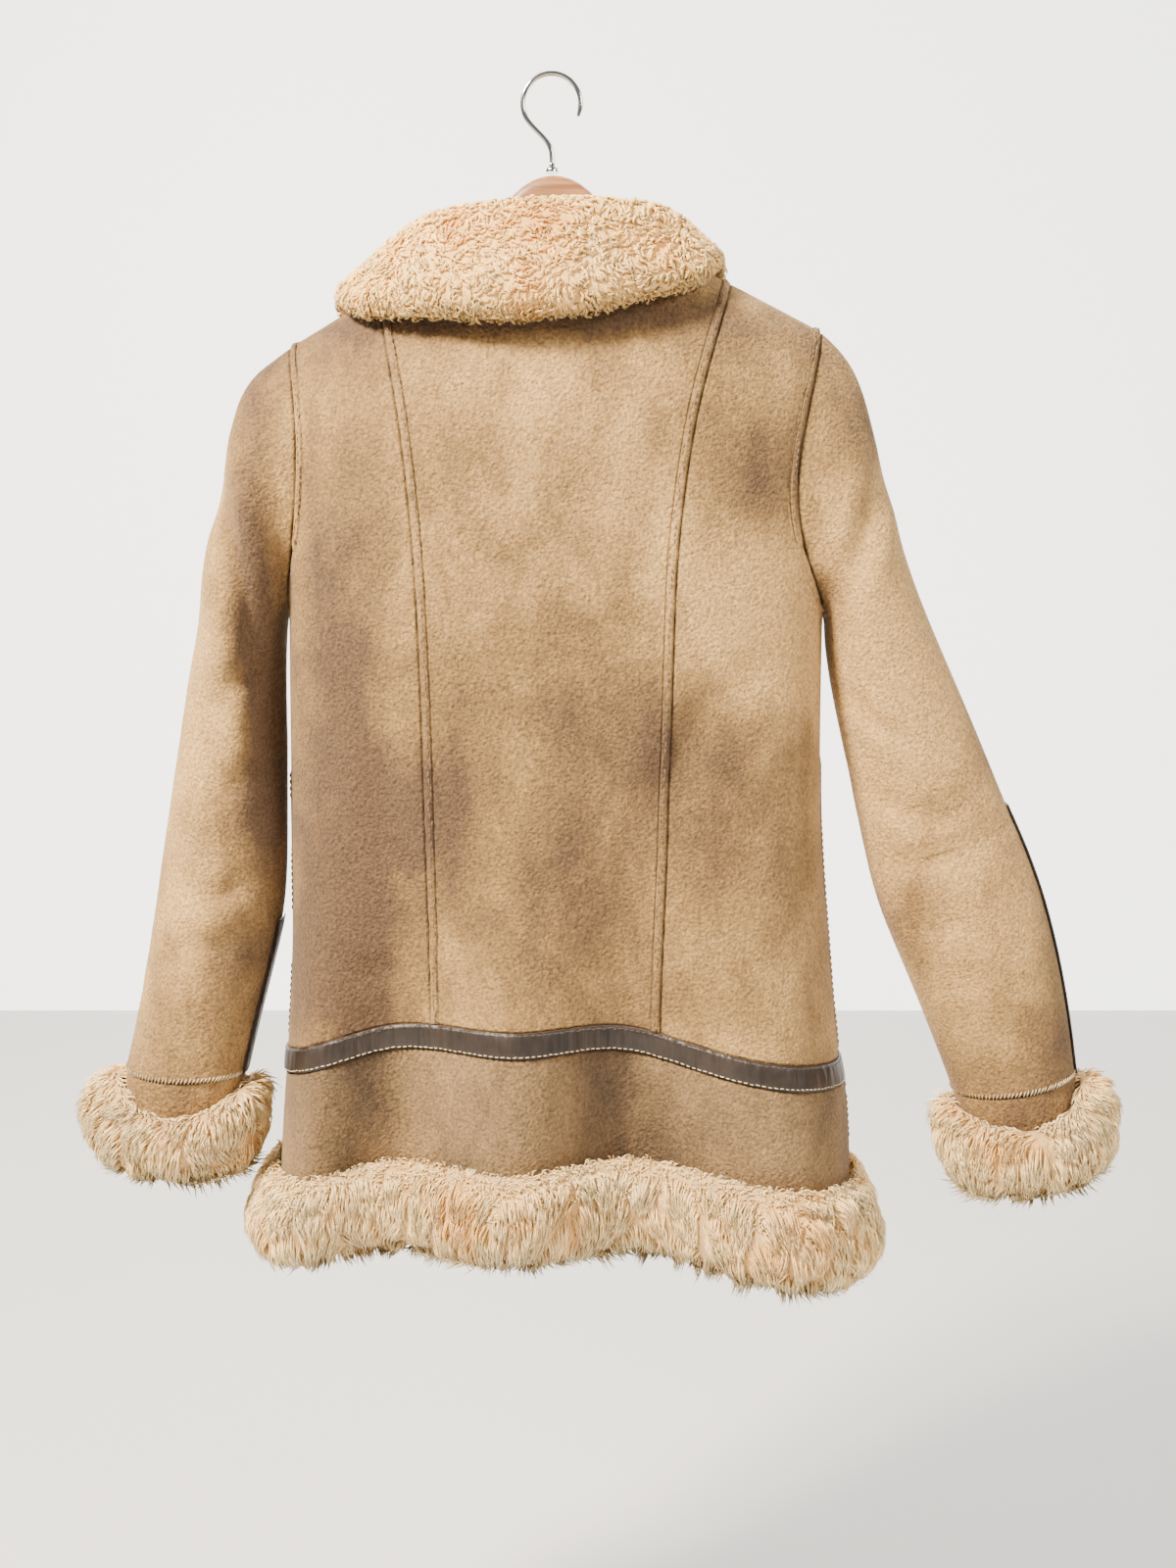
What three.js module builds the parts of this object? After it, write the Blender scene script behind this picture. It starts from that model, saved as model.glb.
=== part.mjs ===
import * as THREE from 'three';

// A shearling coat hanging on a wooden hanger: suede outside, wool turned out at collar, cuffs and hem.
// Millimetres, +Z up. The back of the coat faces +Y, the wearer's left is +X.
// The origin is the inside of the hook's crown, where the rail bears.

const SKIN = 7;
const SEAM = 0.3;
const UNDERARM = -362;
const SLEEVE_GAP = 0.3;

// The shoulder line falls from the neck to both sides and a little more to the wearer's left.
const SHOULDER = { peak: -68, slope: 0.565, tilt: -0.0354, round: 45 };
const RIDGE = { depth: 90, power: 2.2 };
const NECK = { halfWidth: 75, level: -117.4, backDip: 4, frontDip: 68 };

// A column of the body is followed up to the neckline or the shoulder line in this many steps.
const TOP_EDGE = { start: -130, rounds: 12, step: 0.7 };

// Half widths to the left and right, depths to the back and front, and how square the section is.
const BODY = [
  { z: -860, left: 203, right: 221, back: 79, front: 84, square: 3.2 },
  { z: -770, left: 200, right: 217, back: 78, front: 84, square: 3.1 },
  { z: -710, left: 196, right: 213, back: 77, front: 83, square: 3 },
  { z: -666, left: 192.5, right: 205, back: 76, front: 82, square: 2.9 },
  { z: -600, left: 188, right: 199, back: 75, front: 82, square: 2.7 },
  { z: -521, left: 187.5, right: 192, back: 76, front: 83, square: 2.55 },
  { z: -416, left: 186.5, right: 190.5, back: 78, front: 85, square: 2.5 },
  { z: -347, left: 186.5, right: 190.5, back: 78, front: 85, square: 2.5 },
  { z: -250, left: 190, right: 192, back: 76, front: 80, square: 2.5 },
  { z: -180, left: 192, right: 194, back: 70, front: 72, square: 2.5 },
  { z: -110, left: 192, right: 194, back: 66, front: 66, square: 2.5 },
];

// Where the body is cut for the sleeves, above the underarm.
const ARMHOLE = [
  { z: -362, left: 186.5, right: 190.5 },
  { z: -347, left: 184, right: 184 },
  { z: -320, left: 178.5, right: 172 },
  { z: -294, left: 175, right: 166 },
  { z: -268, left: 173, right: 166 },
  { z: -248, left: 172.5, right: 169 },
  { z: -228, left: 174, right: 173 },
  { z: -183, left: 181, right: 184 },
  { z: -150, left: 186, right: 189 },
];

// The two curved seams of the back, as distances from the middle.
const PRINCESS = [
  { z: -860, left: 84, right: 75 },
  { z: -646, left: 84, right: 75 },
  { z: -516, left: 85.5, right: 79 },
  { z: -411, left: 87.5, right: 81.5 },
  { z: -315, left: 92, right: 85.5 },
  { z: -231, left: 101, right: 97 },
  { z: -163, left: 114, right: 116 },
  { z: -110, left: 124, right: 132 },
];

// Flutes that open towards the hem: how far each crest stands out or valley falls in, across the coat.
const FLUTES_BACK = [
  { across: -1, rise: 0 },
  { across: -0.74, rise: 0.95 },
  { across: -0.28, rise: -1 },
  { across: 0.12, rise: 1 },
  { across: 0.56, rise: -1 },
  { across: 0.85, rise: 0.75 },
  { across: 1, rise: 0 },
];
const FLUTES_FRONT = [
  { across: -1, rise: 0 },
  { across: -0.76, rise: 0.8 },
  { across: -0.45, rise: -1 },
  { across: -0.14, rise: 0.3 },
  { across: 0.14, rise: 0.3 },
  { across: 0.48, rise: -1 },
  { across: 0.8, rise: 0.85 },
  { across: 1, rise: 0 },
];
const FLUTE_DEPTH = [
  { z: -860, depth: 29 },
  { z: -740, depth: 26 },
  { z: -650, depth: 17 },
  { z: -560, depth: 6 },
  { z: -470, depth: 0 },
];

// Heights of the trim band's upper edge and of the fur's upper edge, and how tall the fur is.
const LINES_BACK = [
  { across: -1, trim: -682, fur: -762, wool: 76 },
  { across: -0.77, trim: -671, fur: -749, wool: 77 },
  { across: -0.55, trim: -663, fur: -744, wool: 77 },
  { across: -0.2, trim: -647, fur: -736, wool: 76 },
  { across: 0.12, trim: -645, fur: -733, wool: 68 },
  { across: 0.55, trim: -648, fur: -740, wool: 73 },
  { across: 0.85, trim: -660, fur: -746, wool: 67 },
  { across: 1, trim: -674, fur: -753, wool: 67 },
];
const LINES_FRONT = [
  { across: -1, trim: -682, fur: -762, wool: 76 },
  { across: -0.5, trim: -699, fur: -779, wool: 78 },
  { across: 0, trim: -702, fur: -781, wool: 78 },
  { across: 0.5, trim: -696, fur: -775, wool: 78 },
  { across: 1, trim: -674, fur: -753, wool: 67 },
];
const TRIM = { height: 18, raise: 1, raiseUnderLap: 0.5, usualLevel: -660 };

// The right front laps over the left one.
const LAP = { edge: 25, clear: 2.5, fadeFrom: 28, fadeTo: 64, step: 8.5 };

// Rows of the body from the hem up; the skirt runs down behind the fur for a little way.
const FUR_COVER = 30;
const SKIRT_STEPS = 3;
const BODY_STEPS = 8;
const YOKE_STEPS = 12;
const ROW = {
  skirtEnd: 0,
  fur: 1,
  trimBottom: 1 + SKIRT_STEPS,
  trimTop: 2 + SKIRT_STEPS,
  underarm: 2 + SKIRT_STEPS + BODY_STEPS,
  top: 2 + SKIRT_STEPS + BODY_STEPS + YOKE_STEPS,
};
const SIDE_COLUMNS = 9;
const CENTRE_COLUMNS = 14;
const FRONT_COLUMNS = 16;
const LAP_COLUMNS = 3;

// The hem fur: how far it bulges out and how much less at the sides of the coat, and its outline. Shares
// are of the bulge and of the fur's height; the inside goes on from the skirt's turned-under edge.
const HEM_FUR = { bulge: 30, clear: 0.7, sideFrom: 150, sideTo: 198, sideLess: 0.3 };
const HEM_FUR_OUTSIDE = [
  { out: 0.62, down: 0.1, atSides: 1 },
  { out: 0.95, down: 0.34, atSides: 1 },
  { out: 1, down: 0.6, atSides: 0.3 },
  { out: 0.78, down: 0.84, atSides: 0 },
  { out: 0.35, down: 0.99, atSides: 0 },
];
const HEM_FUR_INSIDE = [
  { out: -3, down: 0.16 },
  { out: -2, down: 0.4 },
];
const PLAIN_SQUARE = 2.4;
const HEM_FUR_FOOT = { out: -4, down: 0.96 };

// Each sleeve from the armhole to its hem: its outer and inner edge, half depth and shift to the back.
const SLEEVE_LEFT = [
  { ring: 0, outX: 181.3, outZ: -183, inX: 186.9, inZ: -362, depth: 40, shift: 0 },
  { ring: 1, outX: 199, outZ: -192, inX: 187.6, inZ: -362.6, depth: 44, shift: 0 },
  { ring: 2, outX: 214, outZ: -207, inX: 188.4, inZ: -364.6, depth: 48, shift: 0 },
  { ring: 3, outX: 223, outZ: -232, inX: 189.2, inZ: -369, depth: 50, shift: 0 },
  { ring: 4, outX: 229, outZ: -263, inX: 189.8, inZ: -377, depth: 51, shift: 0 },
  { ring: 5, outX: 236.5, outZ: -300, inX: 190.2, inZ: -391, depth: 50, shift: 0 },
  { ring: 6, outX: 246.5, outZ: -347, inX: 190.4, inZ: -415, depth: 48, shift: 1 },
  { ring: 7, outX: 261.5, outZ: -430, inX: 190.6, inZ: -474, depth: 46, shift: 3 },
  { ring: 8, outX: 276.5, outZ: -515, inX: 191.4, inZ: -540, depth: 45, shift: 5 },
  { ring: 9, outX: 283.5, outZ: -558, inX: 194, inZ: -576, depth: 44, shift: 7 },
  { ring: 10, outX: 290.5, outZ: -601, inX: 202, inZ: -611, depth: 42, shift: 9 },
  { ring: 11, outX: 301, outZ: -655, inX: 215, inZ: -660, depth: 40, shift: 12 },
  { ring: 12, outX: 309.5, outZ: -690, inX: 223, inZ: -694, depth: 39, shift: 14 },
];
const SLEEVE_RIGHT = [
  { ring: 0, outX: -186.3, outZ: -173, inX: -190.9, inZ: -362, depth: 40, shift: 0 },
  { ring: 1, outX: -203, outZ: -184, inX: -191.6, inZ: -362.6, depth: 44, shift: 0 },
  { ring: 2, outX: -217, outZ: -209, inX: -192.4, inZ: -365, depth: 48, shift: 0 },
  { ring: 3, outX: -226, outZ: -248, inX: -193, inZ: -371, depth: 49, shift: 0 },
  { ring: 4, outX: -237, outZ: -288, inX: -193.4, inZ: -381, depth: 48, shift: 0 },
  { ring: 5, outX: -250.5, outZ: -331, inX: -195, inZ: -398, depth: 46, shift: 0 },
  { ring: 6, outX: -266, outZ: -368, inX: -199.5, inZ: -424, depth: 45, shift: -1 },
  { ring: 7, outX: -287, outZ: -413, inX: -208, inZ: -460, depth: 43, shift: -2 },
  { ring: 8, outX: -306, outZ: -454, inX: -216, inZ: -494, depth: 42, shift: -3 },
  { ring: 9, outX: -325, outZ: -498, inX: -225, inZ: -536, depth: 41, shift: -4 },
  { ring: 10, outX: -345, outZ: -540, inX: -237, inZ: -580, depth: 41, shift: -5 },
  { ring: 11, outX: -360, outZ: -583, inX: -256, inZ: -621, depth: 41, shift: -5 },
  { ring: 12, outX: -372, outZ: -632, inX: -273, inZ: -662, depth: 40, shift: -5 },
  { ring: 13, outX: -379, outZ: -672, inX: -287, inZ: -696, depth: 39, shift: -5 },
  { ring: 14, outX: -383, outZ: -699, inX: -294, inZ: -715, depth: 39, shift: -5 },
];
const SLEEVE_SECTIONS = 17;
const SLEEVE_BLEND_RINGS = 4;
const SLEEVE_PROBE = 4;

// Leather strips on the sleeves: first ring of the strip, and its two edges as columns of the sleeve.
const STRIP = { clear: 0.3, thickness: 1.5 };
const STRIP_LEFT = { fromSection: 13, columns: [23, 24, 25] };
const STRIP_RIGHT = { fromSection: 11, columns: [11, 12, 13] };

// The cuff below each sleeve: the way it points, the suede band and the fur roll.
const CUFF_BAND = { length: 42, inset: 1.2, thickness: 5.8, flare: 2, gap: 0.4 };
const CUFF_FUR = { dip: 20, topGap: 1 };
const CUFF_FUR_OUTSIDE = [
  { out: 0.7, down: 0.02 },
  { out: 1, down: 0.28 },
  { out: 0.94, down: 0.6 },
  { out: 0.6, down: 0.87 },
  { out: 0.12, down: 1 },
];
const CUFF_FUR_INSIDE = { notch: 7, out: -8, from: 7, to: 17, footOut: -4.8, foot: 4 };
const CUFF_LEFT = { tiltX: 0.12, length: 71, bulgeOut: 31, bulgeIn: 22, bulgeBack: 24 };
const CUFF_RIGHT = { tiltX: -0.17, length: 76, bulgeOut: 30, bulgeIn: 20, bulgeBack: 24 };

// The collar round the neck, from the left front by the back to the right front. At each angle: where its
// lower edge lies (distance from the middle, drop below the shoulder line), its stand and its wool.
const COLLAR = [
  { angle: 4, edgeX: 64, drop: 144, stand: 14, wool: 16 },
  { angle: 30, edgeX: 96, drop: 110, stand: 15, wool: 17 },
  { angle: 60, edgeX: 126, drop: 58, stand: 12, wool: 17 },
  { angle: 90, edgeX: 149, drop: 0, stand: 9, wool: 17 },
  { angle: 110, edgeX: 131, drop: 19, stand: 13, wool: 18 },
  { angle: 135, edgeX: 92, drop: 45, stand: 17, wool: 19 },
  { angle: 165, edgeX: 30, drop: 78, stand: 21, wool: 19 },
  { angle: 180, edgeX: 0, drop: 81, stand: 21, wool: 19 },
  { angle: 195, edgeX: -28, drop: 75, stand: 21, wool: 19 },
  { angle: 225, edgeX: -74, drop: 46, stand: 17, wool: 18 },
  { angle: 250, edgeX: -103, drop: 20, stand: 10, wool: 16 },
  { angle: 270, edgeX: -119, drop: 0, stand: 5, wool: 14 },
  { angle: 300, edgeX: -110, drop: 56, stand: 14, wool: 16 },
  { angle: 330, edgeX: -90, drop: 112, stand: 14, wool: 16 },
  { angle: 356, edgeX: -62, drop: 148, stand: 14, wool: 16 },
];
const COLLAR_STATIONS = 37;
const COLLAR_CLEAR = 5.5;
const COLLAR_SEAT = 0.9;
const COLLAR_BACK_FROM = 12;
const ROOF_STEP = 0.5;
const COLLAR_PATH = [
  { share: 0, lean: 0, rise: 0, thick: 0.36 },
  { share: 0, lean: 2, rise: 0.5, thick: 0.5 },
  { share: 0, lean: 5, rise: 0.92, thick: 0.62 },
  { share: 0, lean: 10, rise: 1, thick: 0.78 },
  { share: 0.2, lean: 10, rise: 1, thick: 0.92 },
  { share: 0.42, lean: 10, rise: 1, thick: 1 },
  { share: 0.64, lean: 10, rise: 1, thick: 1 },
  { share: 0.85, lean: 10, rise: 1, thick: 0.95 },
  { share: 1, lean: 10, rise: 1, thick: 0.62 },
];

// Plain buttons down the lap.
const BUTTON = { x: 8, clear: 0.5, first: -292, spacing: 112, count: 4, around: 14, reach: 8 };
const BUTTON_OUTLINE = [
  { radius: 0, rise: 0 },
  { radius: 10.2, rise: 0 },
  { radius: 11, rise: 1 },
  { radius: 11, rise: 2.8 },
  { radius: 9.4, rise: 4 },
  { radius: 8, rise: 3 },
  { radius: 0, rise: 2.8 },
];

// The wooden hanger and its steel hook.
const HANGER = { reach: 158, clear: 8.6, sections: 25, around: 10, rounding: 0.8, tipFrom: 0.99, tip: 0.7 };
const CREST = { rise: 38, reach: 58, shoulder: 2.6, foot: 1.5 };
const HANGER_ENDS = { heightMiddle: 24, heightEnd: 15, widthMiddle: 14, widthEnd: 20 };
const HOOK = { wire: 2, radius: 20, ferrule: 5, ferruleHeight: 4, seat: -63.5, around: 8, sections: 24 };
const HOOK_BEND = { shank: 12, bend: 5, bendX: 3, from: -50, to: 205, step: 25.5, tipFrom: 0.98, tip: 0.6 };

// A table read at any place between its rows, joined smoothly.
function smoothTable(rows, by) {
  const last = rows.length - 1;
  const slope = (key, k) => {
    const a = rows[Math.max(k - 1, 0)];
    const b = rows[Math.min(k + 1, last)];
    return (b[key] - a[key]) / (b[by] - a[by]);
  };
  return (key, at) => {
    if (at <= rows[0][by]) return rows[0][key];
    if (at >= rows[last][by]) return rows[last][key];
    const i = rows.findIndex((row, k) => k < last && at <= rows[k + 1][by]);
    const width = rows[i + 1][by] - rows[i][by];
    const t = (at - rows[i][by]) / width;
    const p = rows[i][key];
    const q = rows[i + 1][key];
    const a = slope(key, i) * width;
    const b = slope(key, i + 1) * width;
    return p + t * a + t * t * (3 * (q - p) - 2 * a - b) + t * t * t * (2 * (p - q) + a + b);
  };
}

const smoothStep = (from, to, x) => {
  const t = Math.min(Math.max((x - from) / (to - from), 0), 1);
  return t * t * (3 - 2 * t);
};
const mix = (a, b, t) => a + (b - a) * t;

const body = smoothTable(BODY, 'z');
const armhole = smoothTable(ARMHOLE, 'z');
const princess = smoothTable(PRINCESS, 'z');
const fluteDepth = smoothTable(FLUTE_DEPTH, 'z');
const flutes = { 1: smoothTable(FLUTES_BACK, 'across'), [-1]: smoothTable(FLUTES_FRONT, 'across') };
const lines = { 1: smoothTable(LINES_BACK, 'across'), [-1]: smoothTable(LINES_FRONT, 'across') };
const collar = smoothTable(COLLAR, 'angle');

// Height of the shoulder line above any place across the coat.
function shoulderLine(x) {
  return SHOULDER.peak - SHOULDER.slope * Math.hypot(x, SHOULDER.round) + SHOULDER.tilt * x;
}

// Height of the neckline, on the back (side 1) or the front (side -1).
function neckline(side, x) {
  const share = Math.min(Math.abs(x) / NECK.halfWidth, 1);
  const dip = side > 0 ? NECK.backDip * (1 - share * share) : NECK.frontDip * Math.sqrt(1 - share * share);
  return NECK.level + SHOULDER.tilt * x - dip;
}

const halfWidth = (x, z) => body(x >= 0 ? 'left' : 'right', z);

// How far the coat's outer face stands from the middle plane at a place across it and a height.
function depthAt(side, x, z, underLap = false) {
  const half = halfWidth(x, z);
  const share = Math.min(Math.abs(x) / half, 1);
  const square = body('square', z);
  const full = body(side > 0 ? 'back' : 'front', z) * (1 - share ** square) ** (1 / square);
  const below = Math.min(Math.max(shoulderLine(x) - z, 0) / RIDGE.depth, 1);
  const ridge = (1 - (1 - below) ** RIDGE.power) ** (1 / RIDGE.power);
  const flute = fluteDepth('depth', z) * flutes[side]('rise', x / half);
  const lap = underLap ? LAP.step * (1 - smoothStep(LAP.fadeFrom, LAP.fadeTo, x)) : 0;
  return SEAM / 2 + full * ridge + flute - lap;
}

function bodyPoint(side, x, z, underLap = false) {
  return new THREE.Vector3(x, side * depthAt(side, x, z, underLap), z);
}

// Normals of a grid of points; front grids run the other way round.
function gridNormals(grid, side, closed = false) {
  const count = grid.length;
  return grid.map((column, i) => column.map((point, j) => {
    const before = closed ? grid[(i + count - 1) % count] : grid[Math.max(i - 1, 0)];
    const after = closed ? grid[(i + 1) % count] : grid[Math.min(i + 1, count - 1)];
    const across = after[j].clone().sub(before[j]);
    const up = column[Math.min(j + 1, column.length - 1)].clone().sub(column[Math.max(j - 1, 0)]);
    const normal = across.cross(up).multiplyScalar(side);
    if (Math.abs(point.y) < SEAM) normal.y = 0;
    return normal.normalize();
  }));
}

// A grid of one side of the coat, between seams given as places across at each height.
function bodyGrid(side, borders, counts, underLap) {
  const across = (x, z) => Math.asin(Math.max(Math.min(x / halfWidth(x, z), 1), -1));
  const columns = [{ left: borders[0], right: borders[1], share: 0 }];
  counts.forEach((count, region) => {
    for (let k = 1; k <= count; k++) {
      columns.push({ left: borders[region], right: borders[region + 1], share: k / count });
    }
  });
  const place = (column, z) => {
    const angle = mix(across(column.left(z), z), across(column.right(z), z), column.share);
    return Math.sin(angle) * body(angle >= 0 ? 'left' : 'right', z);
  };
  const outer = columns.map((column) => {
    const atTrim = place(column, TRIM.usualLevel);
    const level = atTrim / halfWidth(atTrim, TRIM.usualLevel);
    const trim = lines[side]('trim', level);
    const fur = lines[side]('fur', level);
    let top = TOP_EDGE.start;
    for (let k = 0; k < TOP_EDGE.rounds; k++) {
      const x = place(column, top);
      const edge = Math.abs(x) < NECK.halfWidth ? neckline(side, x) : shoulderLine(x);
      top = mix(top, edge, TOP_EDGE.step);
    }
    const heights = [fur - FUR_COVER];
    for (let k = 0; k <= SKIRT_STEPS; k++) heights.push(mix(fur, trim - TRIM.height, k / SKIRT_STEPS));
    for (let k = 0; k <= BODY_STEPS; k++) heights.push(mix(trim, UNDERARM, k / BODY_STEPS));
    for (let k = 1; k <= YOKE_STEPS; k++) {
      heights.push(mix(UNDERARM, top, (1 - Math.cos((Math.PI * k) / YOKE_STEPS)) / 2));
    }
    return heights.map((z) => bodyPoint(side, place(column, z), z, underLap));
  });
  return { side, outer, normals: gridNormals(outer, side) };
}

// Sides of the body: the side seam below the underarm, the armhole above it.
const sideSeam = (sign, key) => (z) => {
  const seam = z <= UNDERARM ? halfWidth(sign, z) : armhole(key, z);
  return sign * Math.min(seam, halfWidth(sign, z));
};
const leftEdge = sideSeam(1, 'left');
const rightEdge = sideSeam(-1, 'right');

const back = bodyGrid(
  1,
  [leftEdge, (z) => princess('left', z), (z) => -princess('right', z), rightEdge],
  [SIDE_COLUMNS, CENTRE_COLUMNS, SIDE_COLUMNS],
  false,
);
const frontLeft = bodyGrid(
  -1,
  [leftEdge, () => LAP.edge + LAP.clear, () => -LAP.edge],
  [FRONT_COLUMNS - LAP_COLUMNS, LAP_COLUMNS],
  true,
);
const frontRight = bodyGrid(-1, [() => LAP.edge, rightEdge], [FRONT_COLUMNS + 1], false);

// A solid swept through closed sections of the same number of points. The ends are closed by joining
// each point of a section to the one across from it.
function sweep(sections, closed = false) {
  const size = sections[0].length;
  const positions = sections.flat().flatMap((p) => [p.x, p.y, p.z]);
  const index = [];
  const steps = closed ? sections.length : sections.length - 1;
  for (let s = 0; s < steps; s++) {
    const a = s * size;
    const b = ((s + 1) % sections.length) * size;
    for (let k = 0; k < size - 1; k++) {
      index.push(a + k, b + k, b + k + 1, a + k, b + k + 1, a + k + 1);
    }
    index.push(a + size - 1, b + size - 1, a, b + size - 1, b, a);
  }
  if (!closed) {
    [[0, 1], [(sections.length - 1) * size, -1]].forEach(([start, turn]) => {
      for (let k = 0; k < size / 2 - 1; k++) {
        const far = size - 1 - k;
        const pair = [[k, k + 1, far], [far, k + 1, far - 1]];
        pair.forEach(([p, q, r]) => index.push(...(turn > 0 ? [p, q, r] : [p, r, q]).map((v) => start + v)));
      }
    });
  }
  const geometry = new THREE.BufferGeometry();
  geometry.setAttribute('position', new THREE.Float32BufferAttribute(positions, 3));
  if (signedVolume(positions, index) < 0) {
    for (let k = 0; k < index.length; k += 3) [index[k + 1], index[k + 2]] = [index[k + 2], index[k + 1]];
  }
  geometry.setIndex(index);
  geometry.computeVertexNormals();
  return geometry;
}

function signedVolume(positions, index) {
  const corner = (k) => new THREE.Vector3().fromArray(positions, index[k] * 3);
  let volume = 0;
  for (let k = 0; k < index.length; k += 3) {
    volume += corner(k).dot(corner(k + 1).cross(corner(k + 2))) / 6;
  }
  return volume;
}

// A point moved off a surface along its normal, kept on its own side of the middle plane.
function offset(point, normal, distance, side = 0) {
  const moved = point.clone().addScaledVector(normal, distance);
  if (side !== 0 && side * moved.y < SEAM / 2) moved.y = (side * SEAM) / 2;
  return moved;
}

// A panel of skin cut from a grid: the columns and rows it spans, and the edges sewn to a neighbour.
function panel(grid, columns, rows, sewn, raise = 0) {
  const [firstColumn, lastColumn] = columns;
  const [firstRow, lastRow] = rows;
  const outer = [];
  const inner = [];
  for (let i = firstColumn; i <= lastColumn; i++) {
    outer.push([]);
    inner.push([]);
    for (let j = firstRow; j <= lastRow; j++) {
      const point = grid.outer[i][j];
      const normal = grid.normals[i][j];
      outer.at(-1).push(offset(point, normal, raise, grid.side));
      inner.at(-1).push(offset(point, normal, -SKIN, grid.side));
    }
  }
  const pull = (edge, next) => {
    edge.forEach((point, k) => point.addScaledVector(next[k].clone().sub(point).normalize(), SEAM / 2));
  };
  [outer, inner].forEach((face) => {
    if (sewn.includes('left')) pull(face[0], face[1]);
    if (sewn.includes('right')) pull(face.at(-1), face.at(-2));
    if (sewn.includes('bottom')) pull(face.map((line) => line[0]), face.map((line) => line[1]));
    if (sewn.includes('top')) pull(face.map((line) => line.at(-1)), face.map((line) => line.at(-2)));
  });
  return sweep(outer.map((line, i) => [...line, ...inner[i].slice().reverse()]));
}

// The roll of wool on the hem, hung from the skirt's outer face and turned up under its lower edge.
function hemFur(grid, columns) {
  const [first, last] = columns;
  const sections = [];
  for (let i = first; i <= last; i++) {
    const line = grid.outer[i];
    const top = line[ROW.fur];
    const end = line[ROW.skirtEnd];
    const endInside = offset(end, grid.normals[i][ROW.skirtEnd], -SKIN, grid.side);
    const down = end.clone().sub(top).normalize();
    const out = baseNormal(grid.side, top);
    const atSide = smoothStep(HEM_FUR.sideFrom, HEM_FUR.sideTo, Math.abs(top.x));
    const at = (n, s) => top.clone().addScaledVector(out, n).addScaledVector(down, s);
    const tall = lines[grid.side]('wool', top.x / halfWidth(top.x, top.z));
    const clear = (row) => offset(line[row], grid.normals[i][row], HEM_FUR.clear, grid.side);
    const notch = clear(ROW.skirtEnd).addScaledVector(down, HEM_FUR.clear);
    const notchInside = endInside.clone().addScaledVector(down, HEM_FUR.clear);
    const outside = HEM_FUR_OUTSIDE.map((step) => {
      const less = 1 - HEM_FUR.sideLess * atSide * step.atSides;
      return at(HEM_FUR.bulge * step.out * less, tall * step.down);
    });
    const inside = HEM_FUR_INSIDE.map((step) => {
      return notchInside.clone().addScaledVector(out, step.out).addScaledVector(down, tall * step.down);
    });
    const hung = [clear(ROW.fur).lerp(notch, 0.5), notch, notchInside];
    const foot = at(HEM_FUR_FOOT.out, tall * HEM_FUR_FOOT.down);
    sections.push([clear(ROW.fur), ...outside, foot, ...inside.reverse(), ...hung.reverse()]);
  }
  return sweep(sections);
}

// Direction away from the coat, as if it had no flutes.
function baseNormal(side, point) {
  const square = PLAIN_SQUARE;
  const half = halfWidth(point.x, point.z);
  const deep = body(side > 0 ? 'back' : 'front', point.z);
  const share = Math.min(Math.abs(point.x) / half, 1);
  const rise = (1 - share ** square) ** (1 / square);
  const x = (Math.sign(point.x) * share ** (square - 1)) / half;
  const y = (side * rise ** (square - 1)) / deep;
  return new THREE.Vector3(x, y, 0).normalize();
}

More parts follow.
